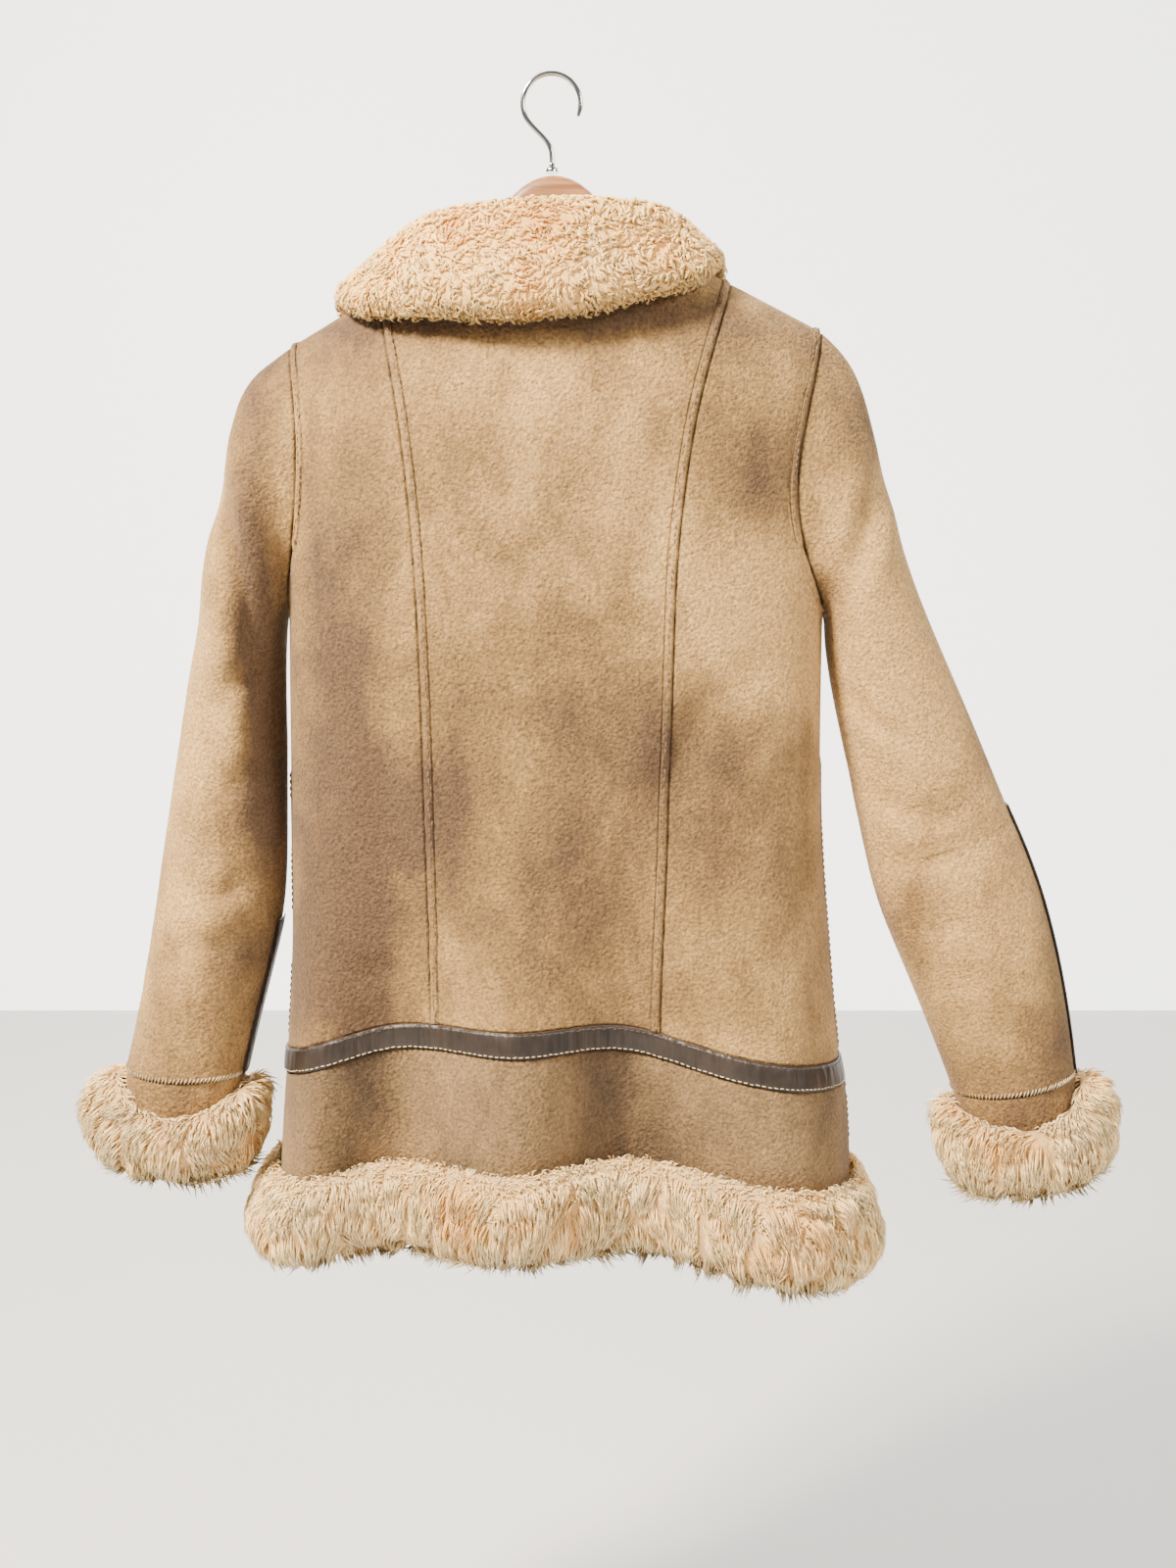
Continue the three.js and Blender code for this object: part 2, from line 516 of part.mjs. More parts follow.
// A sleeve: rings of points from the armhole to the sleeve's end, and their normals.
function sleeveRings(table, backColumn, frontColumn) {
  const read = smoothTable(table, 'ring');
  const sign = Math.sign(table[0].outX);
  const lastRing = table.at(-1).ring;
  const loop = [];
  for (let j = ROW.underarm; j <= ROW.top; j++) loop.push(backColumn[j].clone());
  for (let j = ROW.top - 1; j > ROW.underarm; j--) loop.push(frontColumn[j].clone());
  loop.forEach((point) => {
    point.x += sign * SLEEVE_GAP;
    if (Math.abs(point.y) < SEAM) point.y = 0;
  });
  const frames = [];
  for (let k = 0; k <= SLEEVE_SECTIONS; k++) {
    const ring = lastRing * (k / SLEEVE_SECTIONS);
    const out = new THREE.Vector3(read('outX', ring), read('shift', ring), read('outZ', ring));
    const inn = new THREE.Vector3(read('inX', ring), read('shift', ring), read('inZ', ring));
    const half = out.clone().sub(inn).multiplyScalar(0.5);
    const along = new THREE.Vector3(-half.z, 0, half.x).normalize().multiplyScalar(-sign);
    frames.push({ ring, middle: out.add(inn).multiplyScalar(0.5), half, along, depth: read('depth', ring) });
  }
  const start = frames[0];
  start.half.set(loop[YOKE_STEPS].x - loop[0].x, 0, loop[YOKE_STEPS].z - loop[0].z).multiplyScalar(0.5);
  start.middle.copy(loop[0]).add(loop[YOKE_STEPS]).multiplyScalar(0.5);
  start.along.set(-start.half.z, 0, start.half.x).normalize().multiplyScalar(-sign);
  const rings = frames.map((frame) => loop.map((edge, m) => {
    const angle = (Math.PI * m) / YOKE_STEPS;
    const blend = smoothStep(0, SLEEVE_BLEND_RINGS, frame.ring);
    const stray = edge.clone().sub(start.middle).addScaledVector(start.half, Math.cos(angle));
    return frame.middle.clone()
      .addScaledVector(frame.half, -Math.cos(angle))
      .addScaledVector(frame.along, stray.dot(start.along) * (1 - blend))
      .add(new THREE.Vector3(0, mix(stray.y, Math.sin(angle) * frame.depth, blend), 0));
  }));
  const columns = loop.map((_, m) => rings.map((ring) => ring[m]));
  const normals = gridNormals(columns, sign, true);
  columns.forEach((column, m) => {
    const before = columns.at(m - 1)[0];
    const after = columns[(m + 1) % columns.length][0];
    const tangent = after.clone().sub(before);
    const flat = new THREE.Vector3(0, tangent.z, -tangent.y).normalize();
    const outward = column[0].clone().sub(start.middle).setX(0);
    if (flat.dot(outward) < 0) flat.negate();
    normals[m][0].copy(flat);
    const tip = normals[m].at(-1);
    tip.addScaledVector(frames.at(-1).along, -tip.dot(frames.at(-1).along)).normalize();
    const turned = column[SLEEVE_PROBE].clone().sub(frames[SLEEVE_PROBE].middle);
    if (normals[m][SLEEVE_PROBE].dot(turned) < 0) normals[m].forEach((normal, k) => k > 0 && normal.negate());
  });
  return { sign, columns, normals, end: frames.at(-1) };
}

function sleeve(rings) {
  const sections = rings.columns.map((column, m) => {
    const inside = column.map((point, k) => offset(point, rings.normals[m][k], -SKIN));
    return [...column, ...inside.reverse()];
  });
  return sweep(sections, true);
}

// A leather strip laid on a sleeve, from the elbow to its end.
function sleeveStrip(rings, strip) {
  const count = rings.columns.length;
  const sections = [];
  for (let k = strip.fromSection; k <= SLEEVE_SECTIONS; k++) {
    const lifted = (distance) => strip.columns.map((m) => {
      return offset(rings.columns[m % count][k], rings.normals[m % count][k], distance);
    });
    sections.push([...lifted(STRIP.clear), ...lifted(STRIP.clear + STRIP.thickness).reverse()]);
  }
  return sweep(sections);
}

// Places on the cuff: an angle round the arm, a distance off the band and a distance below the sleeve.
function cuffPlaces(rings, cuff) {
  const { middle, half, depth } = rings.end;
  const wide = half.length();
  const axis = new THREE.Vector3(cuff.tiltX, 0, -1).normalize();
  const side = half.clone().addScaledVector(axis, -half.dot(axis)).normalize();
  const skew = half.dot(axis) / half.dot(side);
  return (angle, n, s) => {
    const c = -Math.cos(angle);
    const d = Math.sin(angle);
    const a = wide - CUFF_BAND.inset;
    const b = depth - CUFF_BAND.inset;
    const out = new THREE.Vector2(c / a, d / b).normalize();
    const rise = n + (CUFF_BAND.flare * s) / CUFF_BAND.length;
    const across = c * a + out.x * rise;
    return middle.clone()
      .addScaledVector(side, across)
      .add(new THREE.Vector3(0, d * b + out.y * rise, 0))
      .addScaledVector(axis, s + skew * across * Math.max(0, 1 - s / cuff.length));
  };
}

function cuffBand(rings, cuff) {
  const place = cuffPlaces(rings, cuff);
  const steps = [0, 0.5, 1].map((share) => mix(CUFF_BAND.gap, CUFF_BAND.length, share));
  const sections = rings.columns.map((_, m) => {
    const angle = (Math.PI * m) / YOKE_STEPS;
    const outside = steps.map((s) => place(angle, 0, s));
    const inside = steps.map((s) => place(angle, -CUFF_BAND.thickness, s));
    return [...outside, ...inside.reverse()];
  });
  return sweep(sections, true);
}

function cuffFur(rings, cuff) {
  const place = cuffPlaces(rings, cuff);
  const sections = rings.columns.map((_, m) => {
    const angle = (Math.PI * m) / YOKE_STEPS;
    const across = -Math.cos(angle);
    const edge = across > 0 ? cuff.bulgeOut : cuff.bulgeIn;
    const reach = mix(cuff.bulgeBack, edge, across * across);
    const start = CUFF_FUR.topGap + CUFF_FUR.dip * (1 - across * across);
    const tall = cuff.length - start;
    const hidden = CUFF_BAND.length + CUFF_BAND.gap;
    const outside = CUFF_FUR_OUTSIDE.map((step) => place(angle, reach * step.out, start + tall * step.down));
    const inside = [
      place(angle, SEAM, start + CUFF_FUR_INSIDE.notch),
      place(angle, SEAM, hidden),
      place(angle, -CUFF_BAND.thickness, hidden),
      place(angle, CUFF_FUR_INSIDE.out, hidden + CUFF_FUR_INSIDE.from),
      place(angle, CUFF_FUR_INSIDE.out, hidden + CUFF_FUR_INSIDE.to),
      place(angle, CUFF_FUR_INSIDE.footOut, cuff.length - CUFF_FUR_INSIDE.foot),
    ];
    return [place(angle, SEAM, start), ...outside, ...inside.reverse()];
  });
  return sweep(sections, true);
}

// The turned-down collar: it stands on the neckline, folds over and falls on the shoulders.
function collarFur() {
  const under = [];
  for (let k = 0; k < COLLAR_STATIONS; k++) {
    const angle = mix(COLLAR[0].angle, COLLAR.at(-1).angle, k / (COLLAR_STATIONS - 1));
    const turn = THREE.MathUtils.degToRad(angle);
    const side = angle > 90 && angle < 270 ? 1 : -1;
    const neckX = NECK.halfWidth * Math.sin(turn);
    const neck = bodyPoint(side, neckX, neckline(side, neckX));
    const edgeX = collar('edgeX', angle);
    const edge = bodyPoint(side, edgeX, shoulderLine(edgeX) - collar('drop', angle));
    const outward = neck.clone().setZ(0).normalize();
    const rise = collar('stand', angle);
    under.push(COLLAR_PATH.map((step) => {
      const fold = neck.clone().addScaledVector(outward, step.lean).setZ(neck.z + COLLAR_SEAT + rise * step.rise);
      const point = fold.lerp(edge, step.share);
      const clear = step.share > 0 ? COLLAR_CLEAR : 0;
      if (clear > 0 && point.z < shoulderLine(point.x) + clear) {
        const least = depthAt(side, point.x, Math.min(point.z, shoulderLine(point.x))) + clear;
        if (side * point.y < least && side * neck.y > COLLAR_BACK_FROM) point.y = side * least;
        else point.z = Math.max(point.z, roof(side, point) + clear);
      }
      return point;
    }));
  }
  const normals = gridNormals(under, -1);
  const sections = under.map((path, k) => {
    const angle = mix(COLLAR[0].angle, COLLAR.at(-1).angle, k / (COLLAR_STATIONS - 1));
    const wool = path.map((point, j) => {
      return offset(point, normals[k][j], collar('wool', angle) * COLLAR_PATH[j].thick);
    });
    return [...path, ...wool.reverse()];
  });
  return sweep(sections);
}

// Height of the coat's outer face above a point near the shoulder line.
function roof(side, point) {
  const line = shoulderLine(point.x);
  for (let drop = 0; drop < RIDGE.depth; drop += ROOF_STEP) {
    if (depthAt(side, point.x, line - drop) >= side * point.y) return line - drop;
  }
  return line - RIDGE.depth;
}

function button() {
  const outline = BUTTON_OUTLINE.map((step) => new THREE.Vector2(step.radius, step.rise));
  return new THREE.LatheGeometry(outline, BUTTON.around);
}

// The hanger's arms follow the inside of the shoulders; its middle rises to a crest in the neck.
function hangerArms() {
  const sections = [];
  for (let k = 0; k < HANGER.sections; k++) {
    const x = mix(-HANGER.reach, HANGER.reach, k / (HANGER.sections - 1));
    const share = Math.abs(x) / HANGER.reach;
    const bump = Math.max(0, 1 - (Math.abs(x) / CREST.reach) ** CREST.shoulder) ** CREST.foot;
    const top = shoulderLine(x) - HANGER.clear + CREST.rise * bump;
    const tip = share > HANGER.tipFrom ? HANGER.tip : 1;
    const tall = mix(HANGER_ENDS.heightMiddle, HANGER_ENDS.heightEnd, share) * tip;
    const wide = mix(HANGER_ENDS.widthMiddle, HANGER_ENDS.widthEnd, share) * tip;
    const section = [];
    for (let m = 0; m < HANGER.around; m++) {
      const angle = (2 * Math.PI * (m + 0.5)) / HANGER.around;
      const soft = (v) => Math.sign(v) * Math.abs(v) ** HANGER.rounding;
      const y = (wide / 2) * soft(Math.cos(angle));
      const z = top - tall / 2 + (tall / 2) * soft(Math.sin(angle));
      section.push(new THREE.Vector3(x, y, z));
    }
    sections.push(section);
  }
  return sweep(sections);
}

// The hook: a ferrule on the crest, a straight shank and a round crown open to one side.
function hook() {
  const crown = HOOK.wire - HOOK.radius;
  const points = [new THREE.Vector3(0, 0, HOOK.seat + HOOK.ferruleHeight)];
  points.push(new THREE.Vector3(0, 0, crown - HOOK.radius - HOOK_BEND.shank));
  points.push(new THREE.Vector3(HOOK_BEND.bendX, 0, crown - HOOK.radius - HOOK_BEND.bend));
  for (let angle = HOOK_BEND.from; angle <= HOOK_BEND.to; angle += HOOK_BEND.step) {
    const turn = THREE.MathUtils.degToRad(angle);
    const x = HOOK.radius * Math.cos(turn);
    points.push(new THREE.Vector3(x, 0, crown + HOOK.radius * Math.sin(turn)));
  }
  const curve = new THREE.CatmullRomCurve3(points);
  const ring = (centre, tangent, radius) => {
    const flat = new THREE.Vector3(-tangent.z, 0, tangent.x);
    const section = [];
    for (let m = 0; m < HOOK.around; m++) {
      const angle = (2 * Math.PI * m) / HOOK.around;
      section.push(centre.clone()
        .addScaledVector(flat, radius * Math.cos(angle))
        .add(new THREE.Vector3(0, radius * Math.sin(angle), 0)));
    }
    return section;
  };
  const up = new THREE.Vector3(0, 0, 1);
  const seat = new THREE.Vector3(0, 0, HOOK.seat);
  const sections = [
    ring(seat, up, HOOK.ferrule),
    ring(seat.clone().addScaledVector(up, HOOK.ferruleHeight - 1), up, HOOK.ferrule),
  ];
  for (let k = 0; k <= HOOK.sections; k++) {
    const t = k / HOOK.sections;
    const wire = t > HOOK_BEND.tipFrom ? HOOK.wire * HOOK_BEND.tip : HOOK.wire;
    sections.push(ring(curve.getPoint(t), curve.getTangent(t), wire));
  }
  return sweep(sections);
}

const SUEDE = { color: 0xb18a5e, roughness: 0.95, metalness: 0 };
const LEATHER = { color: 0x5b5047, roughness: 0.6, metalness: 0 };
const WOOL = { color: 0xe3cfae, roughness: 1, metalness: 0 };
const WOOD = { color: 0xa5703f, roughness: 0.5, metalness: 0 };
const STEEL = { color: 0xc9cbcc, roughness: 0.25, metalness: 1 };
const HORN = { color: 0x4a3426, roughness: 0.45, metalness: 0 };

const coat = new THREE.Group();
function add(name, geometry, finish) {
  const mesh = new THREE.Mesh(geometry, new THREE.MeshStandardMaterial(finish));
  mesh.name = name;
  coat.add(mesh);
  return mesh;
}

const BACK_END = 2 * SIDE_COLUMNS + CENTRE_COLUMNS;
const BODY_ROWS = [ROW.trimTop, ROW.top];
const TRIM_ROWS = [ROW.trimBottom, ROW.trimTop];
const SKIRT_ROWS = [ROW.skirtEnd, ROW.trimBottom];
const LEFT_END = FRONT_COLUMNS;
const RIGHT_END = FRONT_COLUMNS + 1;

add('back_side_left', panel(back, [0, SIDE_COLUMNS], BODY_ROWS, ['right', 'bottom']), SUEDE);
add('back_centre', panel(back, [SIDE_COLUMNS, SIDE_COLUMNS + CENTRE_COLUMNS], BODY_ROWS,
  ['left', 'right', 'bottom']), SUEDE);
add('back_side_right', panel(back, [SIDE_COLUMNS + CENTRE_COLUMNS, BACK_END], BODY_ROWS,
  ['left', 'bottom']), SUEDE);
add('front_left', panel(frontLeft, [0, LEFT_END], BODY_ROWS, ['bottom']), SUEDE);
add('front_right', panel(frontRight, [0, RIGHT_END], BODY_ROWS, ['bottom']), SUEDE);

add('trim_back', panel(back, [0, BACK_END], TRIM_ROWS, ['top', 'bottom'], TRIM.raise), LEATHER);
add('trim_front_left', panel(frontLeft, [0, LEFT_END], TRIM_ROWS, ['top', 'bottom'],
  TRIM.raiseUnderLap), LEATHER);
add('trim_front_right', panel(frontRight, [0, RIGHT_END], TRIM_ROWS, ['top', 'bottom'], TRIM.raise), LEATHER);

add('skirt_back', panel(back, [0, BACK_END], SKIRT_ROWS, ['top']), SUEDE);
add('skirt_front_left', panel(frontLeft, [0, LEFT_END], SKIRT_ROWS, ['top']), SUEDE);
add('skirt_front_right', panel(frontRight, [0, RIGHT_END], SKIRT_ROWS, ['top']), SUEDE);

add('hem_fur_back', hemFur(back, [0, BACK_END]), WOOL);
add('hem_fur_front_left', hemFur(frontLeft, [0, FRONT_COLUMNS - LAP_COLUMNS]), WOOL);
add('hem_fur_front_right', hemFur(frontRight, [0, RIGHT_END]), WOOL);

const leftRings = sleeveRings(SLEEVE_LEFT, back.outer[0], frontLeft.outer[0]);
const rightRings = sleeveRings(SLEEVE_RIGHT, back.outer[BACK_END], frontRight.outer[RIGHT_END]);
[['left', leftRings, STRIP_LEFT, CUFF_LEFT], ['right', rightRings, STRIP_RIGHT, CUFF_RIGHT]].forEach(
  ([name, rings, strip, cuff]) => {
    add(`sleeve_${name}`, sleeve(rings), SUEDE);
    add(`sleeve_strip_${name}`, sleeveStrip(rings, strip), LEATHER);
    add(`cuff_band_${name}`, cuffBand(rings, cuff), SUEDE);
    add(`cuff_fur_${name}`, cuffFur(rings, cuff), WOOL);
  },
);

add('collar_fur', collarFur(), WOOL);

for (let k = 0; k < BUTTON.count; k++) {
  const z = BUTTON.first - k * BUTTON.spacing;
  const mesh = add(`button_${k + 1}`, button(), HORN);
  const seat = bodyPoint(-1, BUTTON.x, z);
  const above = bodyPoint(-1, BUTTON.x, z + BUTTON.reach);
  const beside = bodyPoint(-1, BUTTON.x + BUTTON.reach, z);
  const out = above.sub(seat).cross(beside.sub(seat)).normalize();
  if (out.y > 0) out.negate();
  mesh.position.copy(seat).addScaledVector(out, BUTTON.clear);
  mesh.quaternion.setFromUnitVectors(new THREE.Vector3(0, 1, 0), out);
}

add('hanger_wood', hangerArms(), WOOD);
add('hanger_hook', hook(), STEEL);

export default coat;
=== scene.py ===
import math

import bpy
import numpy as np
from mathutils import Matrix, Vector
from mathutils.bvhtree import BVHTree
from mathutils.kdtree import KDTree


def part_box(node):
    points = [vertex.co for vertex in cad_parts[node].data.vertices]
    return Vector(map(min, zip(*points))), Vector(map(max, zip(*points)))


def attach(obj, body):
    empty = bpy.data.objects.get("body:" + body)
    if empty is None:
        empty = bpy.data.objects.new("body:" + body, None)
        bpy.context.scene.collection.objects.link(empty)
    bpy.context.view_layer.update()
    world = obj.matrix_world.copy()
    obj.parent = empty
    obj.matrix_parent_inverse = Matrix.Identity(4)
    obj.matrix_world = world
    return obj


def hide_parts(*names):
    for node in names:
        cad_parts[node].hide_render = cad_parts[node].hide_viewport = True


# A shearling coat on a wooden hanger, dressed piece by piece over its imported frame.
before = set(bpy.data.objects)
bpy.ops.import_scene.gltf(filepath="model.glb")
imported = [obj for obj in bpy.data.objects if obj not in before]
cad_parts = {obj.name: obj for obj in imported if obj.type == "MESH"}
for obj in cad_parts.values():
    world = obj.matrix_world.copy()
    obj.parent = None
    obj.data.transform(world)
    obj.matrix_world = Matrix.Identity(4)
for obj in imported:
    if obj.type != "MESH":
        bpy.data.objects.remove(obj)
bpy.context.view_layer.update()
MM = 0.001

# The camera stands 1.15 m behind the coat at chest height and looks 7 degrees down, as the photo does.
CAMERA = {"x": -0.0249, "y": 1.150, "z": -0.3453, "down": 7.0, "lens": 37.0}
bpy.ops.object.camera_add(
    location=(CAMERA["x"], CAMERA["y"], CAMERA["z"]),
    rotation=(math.radians(90 - CAMERA["down"]), 0, math.radians(180)),
)
camera = bpy.context.object
camera.name = "camera"
camera.data.lens = CAMERA["lens"]
camera.data.clip_end = 50
bpy.context.scene.camera = camera

# A pale studio: a floor well below the hem, a bright white wall behind the coat's front, a large lamp
# above on the wearer's left of the camera, a weak one on the right and a soft one for the front.
FLOOR_Z = -1.35


def linear(hex_colour):
    """An sRGB hex colour as linear red, green, blue and alpha."""
    channels = [int(hex_colour[k:k + 2], 16) / 255 for k in (1, 3, 5)]
    return tuple(c / 12.92 if c <= 0.04045 else ((c + 0.055) / 1.055) ** 2.4 for c in channels) + (1.0,)


def add_node(material, kind, links=None, **settings):
    """Adds a shader node, sets its sockets or properties by name and links its inputs."""
    node = material.node_tree.nodes.new(kind)
    for key, value in settings.items():
        if key in node.inputs:
            node.inputs[key].default_value = value
        else:
            setattr(node, key, value)
    for key, source in (links or {}).items():
        material.node_tree.links.new(source, node.inputs[key])
    return node


def new_material(name):
    """An empty material with its output, and its shader node."""
    material = bpy.data.materials.new(name)
    material.use_nodes = True
    shader = material.node_tree.nodes["Principled BSDF"]
    return material, shader


studio_wall, shader = new_material("matt_white_studio_paint")
shader.inputs["Base Color"].default_value = linear("#dddbd8")
shader.inputs["Roughness"].default_value = 0.9
bpy.ops.mesh.primitive_plane_add(size=14, location=(0, 0, FLOOR_Z))
floor = bpy.context.object
floor.name = "floor"
floor.data.materials.append(studio_wall)
lit_wall = bpy.data.materials.new("lit_white_paper")
lit_wall.use_nodes = True
wall_shader = lit_wall.node_tree.nodes["Principled BSDF"]
wall_shader.inputs["Emission Color"].default_value = linear("#ffffff")
wall_shader.inputs["Emission Strength"].default_value = 2.4
bpy.ops.mesh.primitive_plane_add(size=14, location=(0, -2.6, 0), rotation=(math.radians(-90), 0, 0))
wall = bpy.context.object
wall.name = "wall"
wall.data.materials.append(lit_wall)

LAMPS = [
    {"name": "lamp_key", "at": (1.3, 1.2, 1.35), "size": 0.5, "power": 330, "colour": "#fff3e0"},
    {"name": "lamp_fill", "at": (-1.7, 1.2, 0.7), "size": 0.7, "power": 45, "colour": "#fff8f0"},
    {"name": "lamp_front", "at": (0.6, -1.9, 0.7), "size": 1.2, "power": 26, "colour": "#fff8f0"},
]
for lamp in LAMPS:
    bpy.ops.object.light_add(type="AREA", location=lamp["at"])
    light = bpy.context.object
    light.name = lamp["name"]
    light.data.size = lamp["size"]
    light.data.energy = lamp["power"]
    light.data.color = linear(lamp["colour"])[:3]
    aim = Vector((0, 0, -0.45)) - light.location
    light.rotation_euler = aim.to_track_quat("-Z", "Y").to_euler()
world = bpy.data.worlds.new("studio_air")
world.use_nodes = True
world.node_tree.nodes["Background"].inputs["Color"].default_value = linear("#f7f7f8")
world.node_tree.nodes["Background"].inputs["Strength"].default_value = 0.26
bpy.context.scene.world = world


# The suede is lambskin with its flesh side brushed to a nap: golden tan, cloudy where hands and brushes
# have laid the nap over, with the fine pebble of the skin showing through, and with listed patches of
# painted light and painted shade. Near a sewn edge the skin rolls down into the seam, and a row of stitches
# pulls it in again; at both the colour is darkened as painted shade.
def suede(name, light, middle, dark, seam_shade):
    material, shader = new_material(name)
    place = add_node(material, "ShaderNodeTexCoord").outputs["Object"]
    streaked = add_node(material, "ShaderNodeMapping", {"Vector": place}, Scale=(1.0, 1.0, 0.6))
    clouds = add_node(material, "ShaderNodeTexNoise", {"Vector": streaked.outputs[0]},
                      Scale=24.0, Detail=6.0, Roughness=0.6, Distortion=0.3)
    patches = add_node(material, "ShaderNodeTexNoise", {"Vector": place}, Scale=6.5, Detail=2.0, Roughness=0.5)
    fibres = add_node(material, "ShaderNodeTexNoise", {"Vector": place}, Scale=430.0, Detail=4.0, Roughness=0.75)
    nap_and_painted_light = add_node(material, "ShaderNodeMix", {"A": clouds.outputs[0], "B": patches.outputs[0]}, Factor=0.45)
    # Painted light and painted shade: the listed patches on the mesh raise or lower the nap's tone here.
    painted_light = add_node(material, "ShaderNodeAttribute", attribute_name="nap_and_painted_light")
    nap_with_painted_light = add_node(material, "ShaderNodeMath", {0: painted_light.outputs["Fac"], 2: nap_and_painted_light.outputs[0]},
                    operation="MULTIPLY_ADD")
    nap_with_painted_light.inputs[1].default_value = 0.17
    tone = add_node(material, "ShaderNodeValToRGB", {"Fac": nap_with_painted_light.outputs[0]})
    tone.color_ramp.elements[0].position = 0.33
    tone.color_ramp.elements[0].color = linear(dark)
    tone.color_ramp.elements[1].position = 0.68
    tone.color_ramp.elements[1].color = linear(light)
    tone.color_ramp.elements.new(0.49).color = linear(middle)
    speck = add_node(material, "ShaderNodeMapRange", {"Value": fibres.outputs[0]})
    speck.inputs["From Min"].default_value = 0.38
    speck.inputs["From Max"].default_value = 0.62
    speck.inputs["To Min"].default_value = 0.64
    speck.inputs["To Max"].default_value = 1.34
    cloth = add_node(material, "ShaderNodeVectorMath", {0: tone.outputs[0], 1: speck.outputs[0]},
                     operation="MULTIPLY")
    # Painted shade: the colour darkens towards the seam colour within 1.5 mm of a sewn border and in the stitch groove
    # 6.4 mm from a lapped one.
    seam = add_node(material, "ShaderNodeAttribute", attribute_name="seam_mm")
    wear_and_seam_shade = add_node(material, "ShaderNodeMapRange", {"Value": seam.outputs["Fac"]})
    wear_and_seam_shade.inputs["From Min"].default_value = 0.0
    wear_and_seam_shade.inputs["From Max"].default_value = 1.5
    wear_and_seam_shade.inputs["To Min"].default_value = 0.95
    wear_and_seam_shade.inputs["To Max"].default_value = 0.0
    lap = add_node(material, "ShaderNodeAttribute", attribute_name="lap_mm")
    offset = add_node(material, "ShaderNodeMath", {0: lap.outputs["Fac"]}, operation="SUBTRACT")
    offset.inputs[1].default_value = 6.4
    groove = add_node(material, "ShaderNodeMath", {0: offset.outputs[0]}, operation="ABSOLUTE")
    stitch_groove_shade = add_node(material, "ShaderNodeMapRange", {"Value": groove.outputs[0]})
    stitch_groove_shade.inputs["From Max"].default_value = 0.9
    stitch_groove_shade.inputs["To Min"].default_value = 0.45
    stitch_groove_shade.inputs["To Max"].default_value = 0.0
    shaded = add_node(material, "ShaderNodeMath", {0: wear_and_seam_shade.outputs[0], 1: stitch_groove_shade.outputs[0]}, operation="MAXIMUM")
    coloured = add_node(material, "ShaderNodeMix", {"Factor": shaded.outputs[0], "A": cloth.outputs[0]},
                        data_type="RGBA", B=linear(seam_shade))
    material.node_tree.links.new(coloured.outputs["Result"], shader.inputs["Base Color"])
    # The pebble is drawn 2.2 mm across, a little coarser than the skin's own, so that it shows.
    pebble = add_node(material, "ShaderNodeTexVoronoi", {"Vector": place}, Scale=450.0, feature="SMOOTH_F1")
    ripple = add_node(material, "ShaderNodeTexNoise", {"Vector": place}, Scale=330.0, Detail=4.0, Roughness=0.65,
                      Distortion=0.6)
    grain = add_node(material, "ShaderNodeMix", {"A": pebble.outputs["Distance"], "B": ripple.outputs[0]}, Factor=0.6)
    rough = add_node(material, "ShaderNodeBump", {"Height": grain.outputs[0]}, Strength=1.0, Distance=0.0026)
    material.node_tree.links.new(rough.outputs[0], shader.inputs["Normal"])
    shader.inputs["Roughness"].default_value = 0.92
    shader.inputs["Specular IOR Level"].default_value = 0.25
    shader.inputs["Sheen Weight"].default_value = 0.14
    shader.inputs["Sheen Roughness"].default_value = 0.45
    shader.inputs["Sheen Tint"].default_value = linear("#ffe9c8")
    return material


tan_suede = suede("napped_tan_lambskin", "#b8935c", "#85673f", "#5b4531", "#33230f")
# The skirt band's suede is the same skin in darker colours, as painted shade low on the coat.
shaded_skirt_suede = suede("napped_tan_lambskin_painted_shade", "#947750", "#735b3e", "#4f3f2e", "#33230f")


def wool_pile(name, tip, root):
    """Short sheared wool seen from close by, for the insides."""
    material, shader = new_material(name)
    place = add_node(material, "ShaderNodeTexCoord").outputs["Object"]
    curls = add_node(material, "ShaderNodeTexNoise", {"Vector": place}, Scale=190.0, Detail=5.0, Roughness=0.7,
                     Distortion=1.2)
    tone = add_node(material, "ShaderNodeValToRGB", {"Fac": curls.outputs[0]})
    tone.color_ramp.elements[0].position = 0.34
    tone.color_ramp.elements[0].color = linear(root)
    tone.color_ramp.elements[1].position = 0.6
    tone.color_ramp.elements[1].color = linear(tip)
    material.node_tree.links.new(tone.outputs[0], shader.inputs["Base Color"])
    bump = add_node(material, "ShaderNodeBump", {"Height": curls.outputs[0]}, Strength=1.0, Distance=0.004)
    material.node_tree.links.new(bump.outputs[0], shader.inputs["Normal"])
    shader.inputs["Roughness"].default_value = 0.95
    shader.inputs["Sheen Weight"].default_value = 0.3
    shader.inputs["Specular IOR Level"].default_value = 0.2
    return material


lining_wool = wool_pile("sheared_cream_wool", "#e8d8ba", "#b89f7c")
# The turned-in skin, used for the seam allowances and the shells' cut edges, is coloured dark brown as painted shade.
turned_in_suede_painted_shade, shader = new_material("turned_in_suede_painted_shade")
shader.inputs["Base Color"].default_value = linear("#4a3524")
shader.inputs["Roughness"].default_value = 0.95


def select_only(piece):
    bpy.ops.object.select_all(action="DESELECT")
    piece.select_set(True)
    bpy.context.view_layer.objects.active = piece


